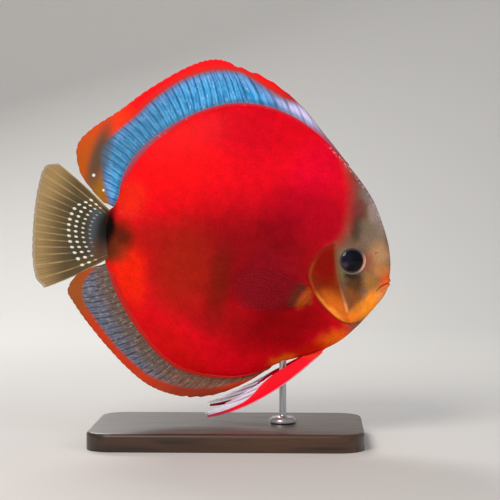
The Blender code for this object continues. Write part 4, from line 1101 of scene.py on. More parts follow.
# %% Paint of the tail fin
TAIL_WEB = [
    (streaks, 5.0, 0.0, 0.9, "#B89C6C", 0.45, 0.1),
    (streaks, 3.0, 0.4, 0.95, "#7A6238", 0.5, 0.1),
    (band, "rim", 32.5, 18.0, "#4A3C20", 0.92),
    (streaks, 1.0, 0.82, 0.97, "#B89C6C", 0.7, 0.04),
]
TAIL_DARK = [(band, "rim", 20.5, 12.5, "#3C3626", 0.9), (band, "rim", 9.0, 4.5, "#46505A", 0.75)]
TAIL_ROOT = [
    (spots,),
    (-58.4, -15.4, 4.4, 6.0, 10, "#5A3A26", 0.95),
    (-57.0, -5.0, 5.0, 10.5, -4, "#0E0A08", 1.0),
]


def caudal_material():
    """The tail fin: thin clear web over ochre rays, dark at the root, with rows of pale spots on the rays."""
    made, tree, shader = start_fin("ochre_tail_fin_skin")
    paint = paint_over(tree, "#9A7E50", TAIL_WEB)
    dark = paint_over(tree, paint, TAIL_DARK)
    paint = paint_over(tree, paint, [(band, "middle", 0.25, 0.75, dark), *TAIL_ROOT])
    fleshy = node(tree, "MapRange", {"Value": "rim", "From Min": 15.0, "From Max": 7.0, "To Min": 0.88})
    finish_fin(tree, shader, paint, fleshy, margin=0.4, margin_width=2.5)
    return made


ochre_skin = caudal_material()
print("nodes for the tail fin:", len(ochre_skin.node_tree.nodes))

# %% Paint of the breast and belly fins
LAST_BREAST_RAY = RAY_COUNTS["pectoral"] - 1
BREAST_WEB = [
    (streaks, 2.0, 0.2, 0.9, "#6E1A26", 0.7, 0.1),
    (band, "reach", 0.26, 0.12, "#6A3A26", 0.7),
    (band, "reach", 0.11, 0.03, "#BE561E", 0.9),
]
PELVIC_WEB = [
    (streaks, 1.0, 0.5, 0.95, "#E4001A", 0.5, 0.05),
    (band, "number", 0.10, 0.0, "#FFB0D0", 0.85),
    (band, "past", -0.16, -0.02, "#FA1C18", 0.6),
    (band, "reach", 0.70, 0.90, "#982844", 0.8),
    (band, "past", -0.015, 0.015, "#F0E4F8"),
    (band, "reach", 0.10, 0.03, "#E8300C", 0.7),
]


def pectoral_material():
    """The breast fin: glass-clear web on fine rose-coloured rays, with an orange fleshy root."""
    plain = {"Specular_IOR_Level": 0.0, "Coat_Weight": 0.0, "Subsurface_Weight": 0.0}
    made, tree, shader = start_fin("clear_fin_skin", **plain)
    # The web clears towards its first and its last ray, so that only its fine rays mark where it ends
    ends = [{"Value": "number", "From Min": edge, "From Max": full, "To Min": 0.1, "To Max": 0.5}
            for edge, full in ((0.0, 2.4), (LAST_BREAST_RAY, LAST_BREAST_RAY - 2.4))]
    web = {k: node(tree, "MapRange", fade) for k, fade in enumerate(ends)}
    web = node(tree, "Math", web, operation="MINIMUM")
    paint = paint_over(tree, "#98161F", BREAST_WEB)
    finish_fin(tree, shader, paint, web, margin=0.08, margin_width=6.0, rod=0.5)
    return made


def pelvic_material():
    """The belly fins: saturated red skin with a lilac leading edge and pale trailing threads."""
    made, tree, shader = start_fin("red_pelvic_fin_skin")
    thin = {"Value": "past", "From Min": -0.015, "From Max": 0.03, "To Min": 0.98, "To Max": 0.22}
    thin = node(tree, "MapRange", thin)
    paint = paint_over(tree, "#F0001E", PELVIC_WEB)
    finish_fin(tree, shader, paint, thin, margin=0.2, margin_width=0.8, rod=0.9)
    return made


clear_skin, red_skin = pectoral_material(), pelvic_material()
print("nodes for a breast fin:", len(clear_skin.node_tree.nodes), "a belly fin:", len(red_skin.node_tree.nodes))

# %% [markdown]
# ## Measures of single fins
# Three fins have a marking that no common measure describes, so a small function for each stores its own: how
# far a place is from the line where the red border begins, which row of the tail's spots it is in, and how far
# it is past the red part of a belly fin.

# %% Border, rows of spots, red ends
DORSAL_RED_LINE = [
    (-57.0, 4.5), (-60.0, 10.5), (-62.2, 15.7), (-63.9, 22.3), (-64.8, 28.0), (-63.0, 33.7), (-58.2, 39.5),
    (-51.6, 46.5), (-45.9, 53.8), (-38.0, 61.9), (-29.9, 67.9), (-19.2, 72.3), (-8.0, 73.2), (2.8, 69.0),
    (13.0, 64.8), (22.4, 62.8), (30.0, 56.4), (38.6, 48.2), (46.0, 40.8),
]
ANAL_RED_LINE = [
    (27.4, -55.6), (20.6, -60.8), (13.8, -64.6), (3.2, -69.0), (-7.8, -71.2), (-17.1, -70.8), (-26.4, -69.0),
    (-33.8, -65.3), (-44.0, -58.3), (-52.1, -51.1), (-57.5, -45.6), (-62.0, -40.3), (-63.8, -34.7),
    (-62.6, -29.1), (-58.0, -21.0),
]
MIDDLE_RAY, ROW_COUNT = 7.5, 4
FIRST_ROW, ROW_STEP, ROW_BEND = 4.7, 3.3, 3.2  # mm from the body, from row to row, and back at 5 rays' distance
# Up to which share of its length each ray of a belly fin is red
RED_ENDS = [
    (0.0, 1.1), (0.26, 1.1), (0.55, 0.66), (0.9, 0.62), (2.0, 0.64), (3.0, 0.70), (4.0, 0.80), (5.0, 0.90),
]


def add_border(line):
    """A function that stores the distance from the line where a fin's red border begins."""
    return lambda mesh: keep(mesh, "border", from_line(points_of(mesh)[:, [0, 2]], line)[0])


def add_rows(mesh):
    """The tail's rows of spots bend back towards its edges: stores which row a point is in."""
    number = numbers_of(mesh, "number")
    row = (numbers_of(mesh, "rim") + ROW_BEND * ((number - MIDDLE_RAY) / 5) ** 2 - FIRST_ROW) / ROW_STEP
    within = (row > 0) & (row < ROW_COUNT) & (number > 0.6) & (number < 2 * MIDDLE_RAY - 0.6)
    keep(mesh, "row", row)
    keep(mesh, "spotted", within.astype(float))
    keep(mesh, "middle", smooth((7.0 - np.abs(number - MIDDLE_RAY)) / 2.6))


def add_red_end(mesh):
    """Stores how far past the red part of a belly fin each point is, as a share of its ray."""
    red_end = np.interp(numbers_of(mesh, "number"), *np.transpose(RED_ENDS))
    keep(mesh, "past", numbers_of(mesh, "reach") - red_end)


print("the tail's first row of spots is", FIRST_ROW, "mm from the body, and the next", ROW_STEP, "mm on")

# %% [markdown]
# ## Building the fins
# One function does the same for all seven fins: it joins the web with its rods, stores the measures, and lets the
# finished piece stand for the fin's plain solids. Each call below says where a fin differs: its middle surface,
# its thicknesses from root to margin, how its margin is scalloped and how its rays fork.

# %% Dorsal, anal and tail fins
def build_fin(name, web, lines, material, slot, nodes, sides=8, measure=None):
    """Joins a web and its rods in one closed-surfaced piece that stands for the CAD's fin nodes. measure
    stores what only this fin's colours need."""
    holder, web_object = add_object(name + "_lines", lines), add_object(name + "_web", web)
    for mesh, rod in ((web, 0.0), (lines, 1.0)):
        keep(mesh, "rod", np.full(len(mesh.vertices), rod))
    apply_tree(holder, line_to_rod, {"Material": material, "Sides": sides, "Web": web_object})
    mesh = holder.data
    keep(mesh, "rim", rim_distance(*points_of(mesh)[:, [0, 2]].T))
    if measure:
        measure(mesh)
    piece = settle(mesh, name, material)
    for obj in (holder, web_object):
        bpy.data.objects.remove(obj)
    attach(piece, "root")
    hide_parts(*nodes)


def thin_ends(u):
    """A long fin thins where it begins and ends, so that it rises out of the back without a step."""
    return 0.25 + 0.75 * smooth(np.minimum(u, 1 - u) / 0.07)


def scalloped(spiny_share, deep=0.06, shallow=0.012):
    """Deep scallops between the spines and shallow ones between the soft rays."""
    return lambda u: np.where(u < spiny_share, deep, shallow)


SPINE_END = 1.01  # spines stand out of the web by a hundredth of their length
MEDIAN_ROWS = np.concatenate([[-0.12, -0.06], np.linspace(0, 1, 40)])
MEDIAN_HALVES = np.interp(MEDIAN_ROWS, (-0.12, 0.0, 0.08, 0.25, 0.9, 1.0), (1.7, 1.35, 0.75, 0.42, 0.20, 0.14))
CAUDAL_HALVES = np.interp(MEDIAN_ROWS, (-0.12, 0.0, 0.07, 0.2, 0.9, 1.0), (1.0, 1.9, 1.3, 0.5, 0.17, 0.12))
for name, kind, place, radius, fin_skin, red_line in (
    ("dorsal_fin", "dorsal", DORSAL, 0.46, blue_skin, DORSAL_RED_LINE),
    ("anal_fin", "anal", ANAL, 0.44, grey_skin, ANAL_RED_LINE),
):
    web = sheet(kind + "_web", place, ray_places(kind), MEDIAN_ROWS, MEDIAN_HALVES,
                scalloped(SPINY_SHARE[kind] - 0.02), taper=thin_ends)
    lines = ray_lines(kind + "_lines", place, kind, -0.08, (radius, 0.12), tips_of(kind),
                      ends=lambda k: SPINE_END if k < SPINES[kind] else 1.0)
    build_fin(name, web, lines, fin_skin, name, (name + "_spiny", name + "_soft"),
              measure=add_border(red_line))
web = sheet("caudal_web", CAUDAL, ray_places("caudal"), MEDIAN_ROWS, CAUDAL_HALVES, lambda u: 0.006)
lines = ray_lines("caudal_lines", CAUDAL, "caudal", -0.06, (0.5, 0.08), lambda k: 4 if 0 < k < 15 else 1)
build_fin("tail_fin", web, lines, ochre_skin, "caudal_fin", ("caudal_fin",), measure=add_rows)

# %% Breast and belly fins
PAIRED_ROWS = np.concatenate([[-0.05], np.linspace(0, 1, 34)])
PAIRED_HALVES = np.interp(PAIRED_ROWS, (-0.05, 0.0, 0.1, 0.3, 1.0), (1.5, 1.2, 0.55, 0.2, 0.1))
PELVIC_ROWS = np.concatenate([[-0.04], np.linspace(0, 1, 60)])
PELVIC_HALVES = np.interp(PELVIC_ROWS, (-0.04, 0.0, 0.1, 0.5, 1.0), (1.1, 0.95, 0.7, 0.35, 0.14))
for side, name in ((-1, "right"), (1, "left")):
    fan = pectoral_place(side)
    web = sheet("fan", fan, ray_places("pectoral"), PAIRED_ROWS, PAIRED_HALVES, lambda u: 0.02)
    lines = ray_lines("fan_lines", fan, "pectoral", 0.0, (0.30, 0.05),
                      lambda k: 2 if 0 < k < LAST_BREAST_RAY else 1)
    build_fin("pectoral_fin_skin_" + name, web, lines, clear_skin, "pectoral_fin", ("pectoral_fin_" + name,),
              sides=6)
    blade = pelvic_place(side, 0.0 if side < 0 else LEFT_PELVIC_LIFT)
    web = sheet("blade", blade, ray_places("pelvic"), PELVIC_ROWS, PELVIC_HALVES,
                lambda u: 0.03 + 0.1 * smooth(u), face_out=(0.2, side, 0.2))
    lines = ray_lines("blade_lines", blade, "pelvic", 0.0, (0.6, 0.10), lambda k: 3 if k else 1,
                      steps=40, fork_at=0.4)
    build_fin("pelvic_fin_skin_" + name, web, lines, red_skin, "pelvic_fin", ("pelvic_fin_" + name,),
              measure=add_red_end)

# %% [markdown]
# ## Eyes
# A fish's eye is a glassy ball with no lid. Here it is a flattened sphere that faces straight out of the head, so
# its short axis lies along the line of sight. The ball sits in its socket a little under the skin. Ring colours
# are set by the distance from the line of sight, so pupil, iris and rim come from one small material.

# %% Eyeballs
EYE_RADIUS, EYE_DEPTH, EYE_SINK = 6.8, 4.4, 2.7
EYE_SEGMENTS, EYE_LOOPS = 96, 40


def eye_frame(side):
    """The eyeball's middle, and its three directions: forward, up and out of the head."""
    step = 0.5
    slope_s = half_width(EYE_S + step, EYE_H) - half_width(EYE_S - step, EYE_H)
    slope_h = half_width(EYE_S, EYE_H + step) - half_width(EYE_S, EYE_H - step)
    out = Vector((-slope_s, side, -slope_h)).normalized()
    across = out.cross(Vector((0, 0, 1))).normalized()
    middle = Vector((EYE_S, side * float(half_width(EYE_S, EYE_H)), EYE_H)) - out * EYE_SINK
    return np.array(middle), np.array([across, across.cross(out), out])


def mesh_from(made, name):
    """Turns a bmesh into a mesh and frees it."""
    mesh = bpy.data.meshes.new(name)
    made.to_mesh(mesh)
    made.free()
    return mesh


def eyeball(side):
    """One ball in its socket, with the distance from the line of sight stored as the measure sight."""
    middle, directions = eye_frame(side)
    made = bmesh.new()
    bmesh.ops.create_uvsphere(made, u_segments=EYE_SEGMENTS, v_segments=EYE_LOOPS, radius=1.0)
    mesh = mesh_from(made, "ball")
    unit = points_of(mesh)
    move_points(mesh, middle + (unit * (EYE_RADIUS, EYE_RADIUS, EYE_DEPTH)) @ directions)
    outwards(mesh)
    keep(mesh, "sight", np.hypot(unit[:, 0], unit[:, 1]) * EYE_RADIUS)
    return mesh


def eye_material():
    """A living eye: black pupil behind a wet clear cornea. To the eye it is the darkest, glossiest place."""
    made, tree, shader = start_material("wet_eye", Roughness=0.12, IOR=1.376, Specular_IOR_Level=0.15,
                                        Coat_Weight=0.18, Coat_Roughness=0.03)
    rim = blot(tree, "#4A4042", EYE_S + 5.0, EYE_H - 0.4, 3.6, 4.0, 0, "#A07E76", 1.0)
    wire(shader, Base_Color=paint_over(tree, "#030407", [
        # Painted reflections: the two blots in the pupil, a dark purple-blue one above and behind its middle and
        # a lilac one below and behind it
        (EYE_S - 2.2, EYE_H + 0.4, 2.6, 3.4, 0, "#181228", 0.7),
        (EYE_S - 3.0, EYE_H - 2.4, 1.6, 1.3, 20, "#5A3A46", 0.5),
        (band, "sight", 4.5, 4.9, "#2E2430"),
        (band, "sight", 4.9, 5.3, rim),
    ]))
    return made


wet_eye = eye_material()
for side, name in ((-1, "eye_right"), (1, "eye_left")):
    eye = settle(eyeball(side), name + "_ball", wet_eye)
    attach(eye, "root")
    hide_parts(name)

# %% [markdown]
# ## Scales
# A discus is covered with small thin scales, each a rounded shield held by its front edge, and each lying over
# the front of the next. They are real pieces here, because their edges catch the light in rows. They are far too
# many to place by hand: rows are laid out by formula over the flank, each place is lifted on to the skin, and a
# node tree puts one small shield on every point, turned so that its free edge points to the tail.

# %% Places of the scales
ROW_PITCH, SCALE_PITCH = 1.9, 1.9
BULGE = 0.0016  # how far a column of scales falls back from its middle, in mm for each square mm of height
BARE, BARE_EDGE, BARE_LOBE = 1.2, 1.5, 4.5  # mm without scales at the rim, the gill cover's edge and the lobe
PAST_BROW = 5.0  # mm by which scales run on past the brow line
ROOT_DEPTH = 0.98  # the share of the skin's relief that the roots follow, so that none stands clear


def flank_places():
    """Staggered columns of (s, h) over the body, in arcs that bulge towards the head."""
    rows = np.arange(-70, 66, ROW_PITCH / 2)
    columns = np.arange(-70, 60, SCALE_PITCH)
    h, s = np.meshgrid(rows, columns, indexing="ij")
    s = s + (np.arange(len(rows)) % 2)[:, None] * SCALE_PITCH / 2
    s = s - BULGE * h**2
    return np.stack([s.ravel(), h.ravel()], axis=1)


def scaled(places):
    """Which places carry a scale: the body, but not the head, the root of the breast fin or the rim."""
    s, h = places.T
    brow, _ = from_line(places, BROW_EDGE)
    gill, gill_share = from_line(places, GILL_EDGE)
    lobe = np.hypot(s - LOBE_S, h - LOBE_H) < BARE_LOBE
    ahead = (brow > PAST_BROW) & (h > 0)
    on_cover = (np.abs(gill) < BARE_EDGE) & (gill_share > 0.02) & (gill_share < 0.98)
    in_head = (gill > 0) & (s > 36) & (h < 4)
    return (rim_distance(s, h) < -BARE) & ~ahead & ~on_cover & ~in_head & ~lobe


def on_skin(places, side, lift):
    """Points on the finished skin and their outward normals, in the fish's frame."""
    step = 0.35

    def height(at):
        return side * (half_width(*at.T) + relief(at) * ROOT_DEPTH)

    y = height(places)
    slope_s = (height(places + (step, 0)) - height(places - (step, 0))) / (2 * step)
    slope_h = (height(places + (0, step)) - height(places - (0, step))) / (2 * step)
    normal = side * np.stack([-slope_s, np.ones(len(y)), -slope_h], axis=1)
    normal /= np.linalg.norm(normal, axis=1)[:, None]
    return np.stack([places[:, 0], y, places[:, 1]], axis=1) + normal * lift, normal


bearing = flank_places()
print(int(scaled(bearing).sum()), "of", len(bearing), "places carry a scale on each side")

# %% One scale, and the tree that scatters it
SCALE_LENGTH, SCALE_WIDTH, SCALE_THICK = 2.5, 2.3, 0.09
# Half of its outline, as shares of its length and width
SHIELD_HALF = [(0.0, 0.0), (0.05, 0.28), (0.25, 0.46), (0.55, 0.50), (0.82, 0.38), (0.96, 0.18), (1.0, 0.0)]


def shield():
    """One scale, closed and lens-shaped: a rounded shield along +X with its root at the zero."""
    half = np.array(SHIELD_HALF)
    ring = np.vstack([half, half[-2:0:-1] * [1, -1]]) * [SCALE_LENGTH, SCALE_WIDTH]
    count = len(ring)
    points = [(x, y, -SCALE_THICK * (2 * y / SCALE_WIDTH) ** 2) for x, y in ring]
    points += [(SCALE_LENGTH * 0.5, 0, SCALE_THICK * 0.4), (SCALE_LENGTH * 0.5, 0, -SCALE_THICK * 1.6)]
    faces = [(i, (i + 1) % count, count) for i in range(count)]
    faces += [((i + 1) % count, i, count + 1) for i in range(count)]
    mesh = bpy.data.meshes.new("shield")
    mesh.from_pydata(points, [], faces)
    outwards(mesh)
    mesh.shade_smooth()
    mesh.attributes.new("sharp_edge", "BOOLEAN", "EDGE")
    for edge in mesh.edges:
        edge.use_edge_sharp = max(edge.vertices) < count
    return mesh


def scatter_tree():
    """Puts a copy of an object on every point, turned by the stored normal and lie."""
    tree, given, out = tree_of("scales_on_points", {"Scale piece": "Object", "Material": "Material"})
    normal, lie, size = [
        node(tree, "GeometryNodeInputNamedAttribute", {"Name": name}, data_type=kind)
        for name, kind in (("out", "FLOAT_VECTOR"), ("lie", "FLOAT_VECTOR"), ("size", "FLOAT"))
    ]
    turned = node(tree, "FunctionNodeAxesToRotation", {0: normal, 1: lie}, primary_axis="Z", secondary_axis="X")
    piece = node(tree, "GeometryNodeObjectInfo", {"Object": given["Scale piece"]}, out="Geometry")
    copies = {"Points": given["Geometry"], "Instance": piece, "Rotation": turned, "Scale": size}
    copies = node(tree, "GeometryNodeInstanceOnPoints", copies)
    real = node(tree, "GeometryNodeRealizeInstances", {0: copies})
    painted = node(tree, "GeometryNodeSetMaterial", {"Geometry": real, "Material": given["Material"]})
    tree.links.new(painted, out[0])
    return tree


scatter = scatter_tree()
print("one scale has", len(shield().polygons), "faces; the tree that scatters it,", len(scatter.nodes), "nodes")

# %% [markdown]
# The rows are laid down with a fixed seed, so the coat is the same each time. Every scale lies nearly flat, its
# free edge tilted up by two degrees, and the scales shrink towards the rim and the brow. The coat also gets a
# map for baking: each scale has a small patch at its own place on an unwrap of the flank.

# %% Coats of scales
SCALE_TILT, SCALE_LIFT = math.radians(2.2), 0.05
PLACE_SPREAD, SIZE_SPREAD = 0.05, 0.04
MAP_REACH, MAP_PATCH = 0.24, 0.0015  # shares of the map: the flank's radius, and a scale's length


def scale_coat(side, name, piece):
    """One side's coat, with a scale at every place of the flank that carries one."""
    chance = np.random.default_rng(7 + side)
    places = flank_places()
    places = places[scaled(places)]
    places = places + chance.normal(0, PLACE_SPREAD, places.shape)
    points, normal = on_skin(places, side, SCALE_LIFT)
    lie = np.tile((-1.0, 0.0, 0.0), (len(points), 1))
    lie -= normal * (lie * normal).sum(axis=1)[:, None]
    lie /= np.linalg.norm(lie, axis=1)[:, None]
    lie = lie * math.cos(SCALE_TILT) + normal * math.sin(SCALE_TILT)
    out = normal - lie * (lie * normal).sum(axis=1)[:, None]
    # Over the last 12 mm to the rim the scales shrink to two thirds, and over 9 mm at the brow line to a half
    near_rim = smooth((-rim_distance(*places.T) - BARE) / 12)
    near_brow = smooth((6.0 - from_line(places, BROW_EDGE)[0]) / 9)
    size = (0.66 + 0.34 * near_rim) * (0.5 + 0.5 * near_brow) * chance.normal(1, SIZE_SPREAD, len(points))
    mesh = bpy.data.meshes.new(name)
    mesh.from_pydata(points.tolist(), [], [])
    root_place = np.pad(places, ((0, 0), (0, 1)))
    for key, values in (("out", out), ("lie", lie), ("size", size), ("root_place", root_place)):
        keep(mesh, key, values)
    holder = add_object(name, mesh)
    apply_tree(holder, scatter, {"Scale piece": piece, "Material": fish_skin})
    made = holder.data
    bpy.data.objects.remove(holder)
    return made


def bake_uv(mesh, side):
    """Gives each scale a small patch of the OFBake map, at its root's place on an unwrap of the flank."""
    roots = read(mesh.attributes["root_place"].data, "vector")[:, :2]
    turn = np.arctan2(roots[:, 1], roots[:, 0])
    reach = np.minimum(np.hypot(*roots.T) / outline_reach(turn), 1)
    far = MAP_REACH * np.arcsin(reach) / (math.pi / 2)
    home = np.stack([(0.25 if side < 0 else 0.75) + far * np.cos(turn), 0.5 + far * np.sin(turn)], axis=1)
    uv = home + np.clip((points_of(mesh)[:, [0, 2]] - roots) / SCALE_LENGTH, -1, 1) * MAP_PATCH
    corner = np.empty(len(mesh.loops), np.int32)
    mesh.loops.foreach_get("vertex_index", corner)
    mesh.uv_layers.new(name="OFBake").data.foreach_set("uv", uv[corner].astype(np.float32).ravel())


shield_object = add_object("shield", shield())
for side, name in ((-1, "scales_right"), (1, "scales_left")):
    coat_mesh = scale_coat(side, name, shield_object)
    bake_uv(coat_mesh, side)
    coat = settle(coat_mesh, name, fish_skin, head_lines=True)
    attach(coat, "root")
bpy.data.objects.remove(shield_object)

# %% [markdown]
# ## Stand
# A live discus hangs in water, so a model needs something to stand on. The base is a flat board with rounded
# corners, and a turned steel rod rises from it into the belly. Sawn and rounded things begin as a cube with
# bevelled edges, and turned ones as half an outline spun round an axis: each is made the way the real one is.

# %% Base board
BASE_SIZE = (122.0, 78.0, 8.0)
BASE_CORNER, BASE_BEVEL, BASE_UNDER = 12.0, 1.6, 0.4  # radii of the upright, the upper and the lower edges
NEARLY = 0.01  # mm within which an edge counts as level with a face


def board():
    """A board with its upright, upper and lower edges rounded, in that order."""
    high = BASE_SIZE[2] * MM
    made = bmesh.new()
    bmesh.ops.create_cube(made, size=1.0)
    bmesh.ops.scale(made, vec=[v * MM for v in BASE_SIZE], verts=made.verts)
    bmesh.ops.translate(made, vec=(0, 0, high / 2), verts=made.verts)
    for radius, segments, chosen in (
        (BASE_CORNER, 24, lambda low, top: top - low > MM),
        (BASE_BEVEL, 8, lambda low, top: low > high - NEARLY * MM),
        (BASE_UNDER, 2, lambda low, top: top < NEARLY * MM),
    ):
        edges = [e for e in made.edges if chosen(*sorted(v.co.z for v in e.verts))]
        bmesh.ops.bevel(made, geom=edges, offset=radius * MM, segments=segments, profile=0.5, affect="EDGES")
    return mesh_from(made, "board")


base_mesh = board()
print("the board has", len(base_mesh.polygons), "faces")

# %% Turned rod
ROD_X, ROD_RADIUS, ROD_TOP, ROD_EDGE = 24.75, 1.6, 43.5, 0.3
FOOT_RADIUS, FOOT_HEIGHT, FOOT_SLOPE, FOOT_EDGE, FOOT_GAP = 6.0, 2.6, 1.2, 0.2, 0.3
COVE = 1.2  # radius of the hollow between the foot and the rod
ROD_SEGMENTS = 64


def turned_rod():
    """The rod with its foot: half an outline turned round the upright axis."""
    low = BASE_SIZE[2] + FOOT_GAP
    top = low + FOOT_HEIGHT
    profile = [(0.0, ROD_TOP), (ROD_RADIUS - ROD_EDGE, ROD_TOP), (ROD_RADIUS, ROD_TOP - ROD_EDGE)]
    profile += [(ROD_RADIUS + COVE * (1 - math.sin(a)), top + COVE * (1 - math.cos(a)))
                for a in np.linspace(math.pi / 2, 0, 8)]
    profile += [
        (FOOT_RADIUS - FOOT_SLOPE, top), (FOOT_RADIUS - FOOT_EDGE, top - FOOT_SLOPE + FOOT_EDGE),
        (FOOT_RADIUS, top - FOOT_SLOPE - FOOT_EDGE / 2), (FOOT_RADIUS, low + FOOT_EDGE),
        (FOOT_RADIUS - FOOT_EDGE, low), (0.0, low),
    ]
    made = bmesh.new()
    line = [made.verts.new((r * MM, 0, z * MM)) for r, z in profile]
    edges = [made.edges.new(pair) for pair in zip(line, line[1:])]
    half = [*line, *edges]
    bmesh.ops.spin(made, geom=half, cent=(0, 0, 0), axis=(0, 0, 1), angle=FULL_TURN, steps=ROD_SEGMENTS)
    bmesh.ops.remove_doubles(made, verts=made.verts, dist=0.001 * MM)
    bmesh.ops.translate(made, vec=(ROD_X * MM, 0, 0), verts=made.verts)
    bmesh.ops.recalc_face_normals(made, faces=made.faces)
    return mesh_from(made, "rod")


rod_mesh = turned_rod()
print("the rod has", len(rod_mesh.polygons), "faces")

# %% [markdown]
# Dark oiled wood and brushed steel are quiet finishes that leave the colour to the fish. Both are noise drawn out
# in one direction: along the board for the grain, and round the rod for the marks of the lathe.

# %% Wood and steel
def drawn_out(tree, scale, **settings):
    """Noise over the object, drawn out by its scale along X, Y and Z."""
    spot = node(tree, "TexCoord", out="Object")
    spot = node(tree, "Mapping", {"Vector": spot, "Scale": scale})
    return node(tree, "TexNoise", {"Vector": spot, "Scale": 1.0, **settings})


def wood_material():
    """Oiled dark walnut, sawn along the grain and rubbed smooth. To the eye it is warm and low in gloss."""
    made, tree, shader = start_material("oiled_walnut", IOR=1.5, Coat_Weight=0.25, Coat_Roughness=0.25)
    # Object coordinates are metres: grain lines up to 4 mm wide and 45 mm long, in bands of 18 by 170 mm
    grain = drawn_out(tree, (22.0, 260.0, 260.0), Detail=6.0, Roughness=0.62)
    figure = drawn_out(tree, (6.0, 55.0, 55.0), Detail=2.0, Distortion=0.6)
    light = node(tree, "MapRange", {"Value": figure, "From Min": 0.35, "From Max": 0.7})
    line = node(tree, "MapRange", {"Value": grain, "From Min": 0.52, "From Max": 0.66, "To Max": 0.7})
    wire(
        shader,
        Base_Color=lay(tree, lay(tree, "#2A1A10", "#4C2F1C", light), "#150C07", line),
        Roughness=node(tree, "MapRange", {"Value": grain, "To Min": 0.34, "To Max": 0.52}),
        Normal=node(tree, "Bump", {"Height": grain, "Strength": 0.25, "Distance": 0.0001}),
    )
    return made


def steel_material():
    """Stainless steel, turned and brushed round. To the eye it is pale grey with fine rings in its gloss."""
    made, tree, shader = start_material("brushed_steel", Base_Color=colour("#C4C6C8"), Metallic=1.0)
    # Marks of the lathe, a tenth of a millimetre apart
    rings = drawn_out(tree, (40.0, 40.0, 9000.0), Detail=2.0)
    wire(
        shader,
        Roughness=node(tree, "MapRange", {"Value": rings, "To Min": 0.22, "To Max": 0.38}),
        Normal=node(tree, "Bump", {"Height": rings, "Strength": 0.1, "Distance": 0.00002}),
    )
    return made


def stand_piece(mesh, name, material, node_name, sharp_over):
    """A finished piece of the stand. Edges that turn by more than sharp_over degrees stay sharp."""
    mesh.materials.append(material)
    mesh.shade_smooth()
    mesh.set_sharp_from_angle(angle=math.radians(sharp_over))
    obj = add_object(name, mesh)
    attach(obj, "root")
    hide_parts(node_name)
    print(name, "stands", round(max(v.co.z for v in mesh.vertices) * 1000, 2), "mm high")


stand_piece(base_mesh, "base_board", wood_material(), "stand_base", 30)
stand_piece(rod_mesh, "turned_rod", steel_material(), "stand_rod", 35)

# %% [markdown]
# ## Floor, light and camera
# The picture is a plain studio one: a pale floor that curves up behind the model, one large soft lamp in front
# and above, a weaker one on the head's side, a low one that lifts the belly but leaves the floor alone, one
# behind that draws the rim, and a pale sky for the shadows. Only the first lamp and the one behind may show in
# gloss, because one lamp's mark in the wet eye is enough. The camera stands off to the fish's right, a little
# above its eye, with a long lens as a portrait needs.

# %% Floor
FLOOR_SIDE, FLOOR_FRONT, FLOOR_BACK, WALL_HEIGHT, FLOOR_BEND = 3.0, -3.0, 1.1, 1.8, 0.5  # metres


def floor_sheet():
    """A floor that turns up into a wall in one smooth bend."""
    bend = [(FLOOR_BACK - FLOOR_BEND * (1 - math.sin(a)), FLOOR_BEND * (1 - math.cos(a)))
            for a in np.linspace(0, math.pi / 2, 24)]
    profile = [(FLOOR_FRONT, 0.0), *bend, (FLOOR_BACK, WALL_HEIGHT)]
    points = [(x, y, z) for y, z in profile for x in (-FLOOR_SIDE, FLOOR_SIDE)]
    faces = [(2 * i, 2 * i + 1, 2 * i + 3, 2 * i + 2) for i in range(len(profile) - 1)]
    mesh = bpy.data.meshes.new("floor")
    mesh.from_pydata(points, [], faces)
    mesh.shade_smooth()
    paper, _, _ = start_material("pale_paper", Base_Color=colour("#D8D6D2"), Roughness=0.9)
    mesh.materials.append(paper)
    return add_object("floor", mesh)


floor = floor_sheet()
print("the floor has", len(floor.data.polygons), "faces")

# %% Lamps and sky
FISH_MIDDLE = Vector((0.0, 0.0, 0.09))
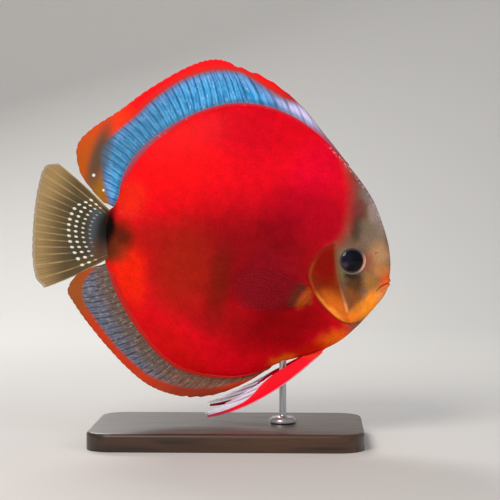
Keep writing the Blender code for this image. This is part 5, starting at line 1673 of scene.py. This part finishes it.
# Each lamp: place and width in metres, power in watts, tint, and whether it shows in gloss
LAMPS = {
    "key": ((-0.4, -0.8, 0.75), 0.5, 7.1, "#FFF6EC", True),
    "fill": ((0.8, -0.6, 0.35), 0.7, 2.6, "#EAF2FF", False),
    "low": ((0.15, -0.8, 0.05), 0.3, 2.2, "#FFFFFF", False),
    "rim": ((-0.3, 0.7, 0.6), 0.4, 4.0, "#FFFFFF", True),
}


def area_light(name, place, size, power, tint, glossy):
    """A round soft lamp that points at the middle of the fish."""
    lamp = bpy.data.lights.new(name, "AREA")
    lamp.shape, lamp.size, lamp.energy, lamp.color = "DISK", size, power, colour(tint)[:3]
    obj = add_object(name, lamp)
    obj.location = place
    obj.rotation_euler = (FISH_MIDDLE - Vector(place)).to_track_quat("-Z", "Y").to_euler()
    obj.visible_glossy = glossy
    return obj


lamps = {name: area_light(name, *numbers) for name, numbers in LAMPS.items()}
unlit = bpy.data.collections.new("not_lit_by_low")
unlit.objects.link(floor)
unlit.collection_objects[0].light_linking.link_state = "EXCLUDE"
lamps["low"].light_linking.receiver_collection = unlit
world = bpy.data.worlds.new("studio")
world.use_nodes = True
sky = world.node_tree.nodes["Background"].inputs
sky["Color"].default_value, sky["Strength"].default_value = colour("#E6E8EC"), 0.45
bpy.context.scene.world = world
bpy.context.scene.view_settings.view_transform = "Standard"
print("lamps:", ", ".join(lamps))

# %% Camera
CAMERA_AWAY, CAMERA_LENS, CAMERA_TURN, CAMERA_RISE = 0.80, 127.5, math.radians(2.0), math.radians(2.0)
CAMERA_AIM = Vector((0.0099, 0.0, 0.0864))
lens = bpy.data.cameras.new("camera")
lens.lens, lens.clip_start = CAMERA_LENS, 0.01
camera = add_object("camera", lens)
level_part = math.cos(CAMERA_RISE)
back = Vector((math.sin(CAMERA_TURN) * level_part, -math.cos(CAMERA_TURN) * level_part, math.sin(CAMERA_RISE)))
camera.location = CAMERA_AIM + back * CAMERA_AWAY
camera.rotation_euler = (-back).to_track_quat("-Z", "Y").to_euler()
bpy.context.scene.camera = camera
print("the camera stands at", [round(v, 3) for v in camera.location])
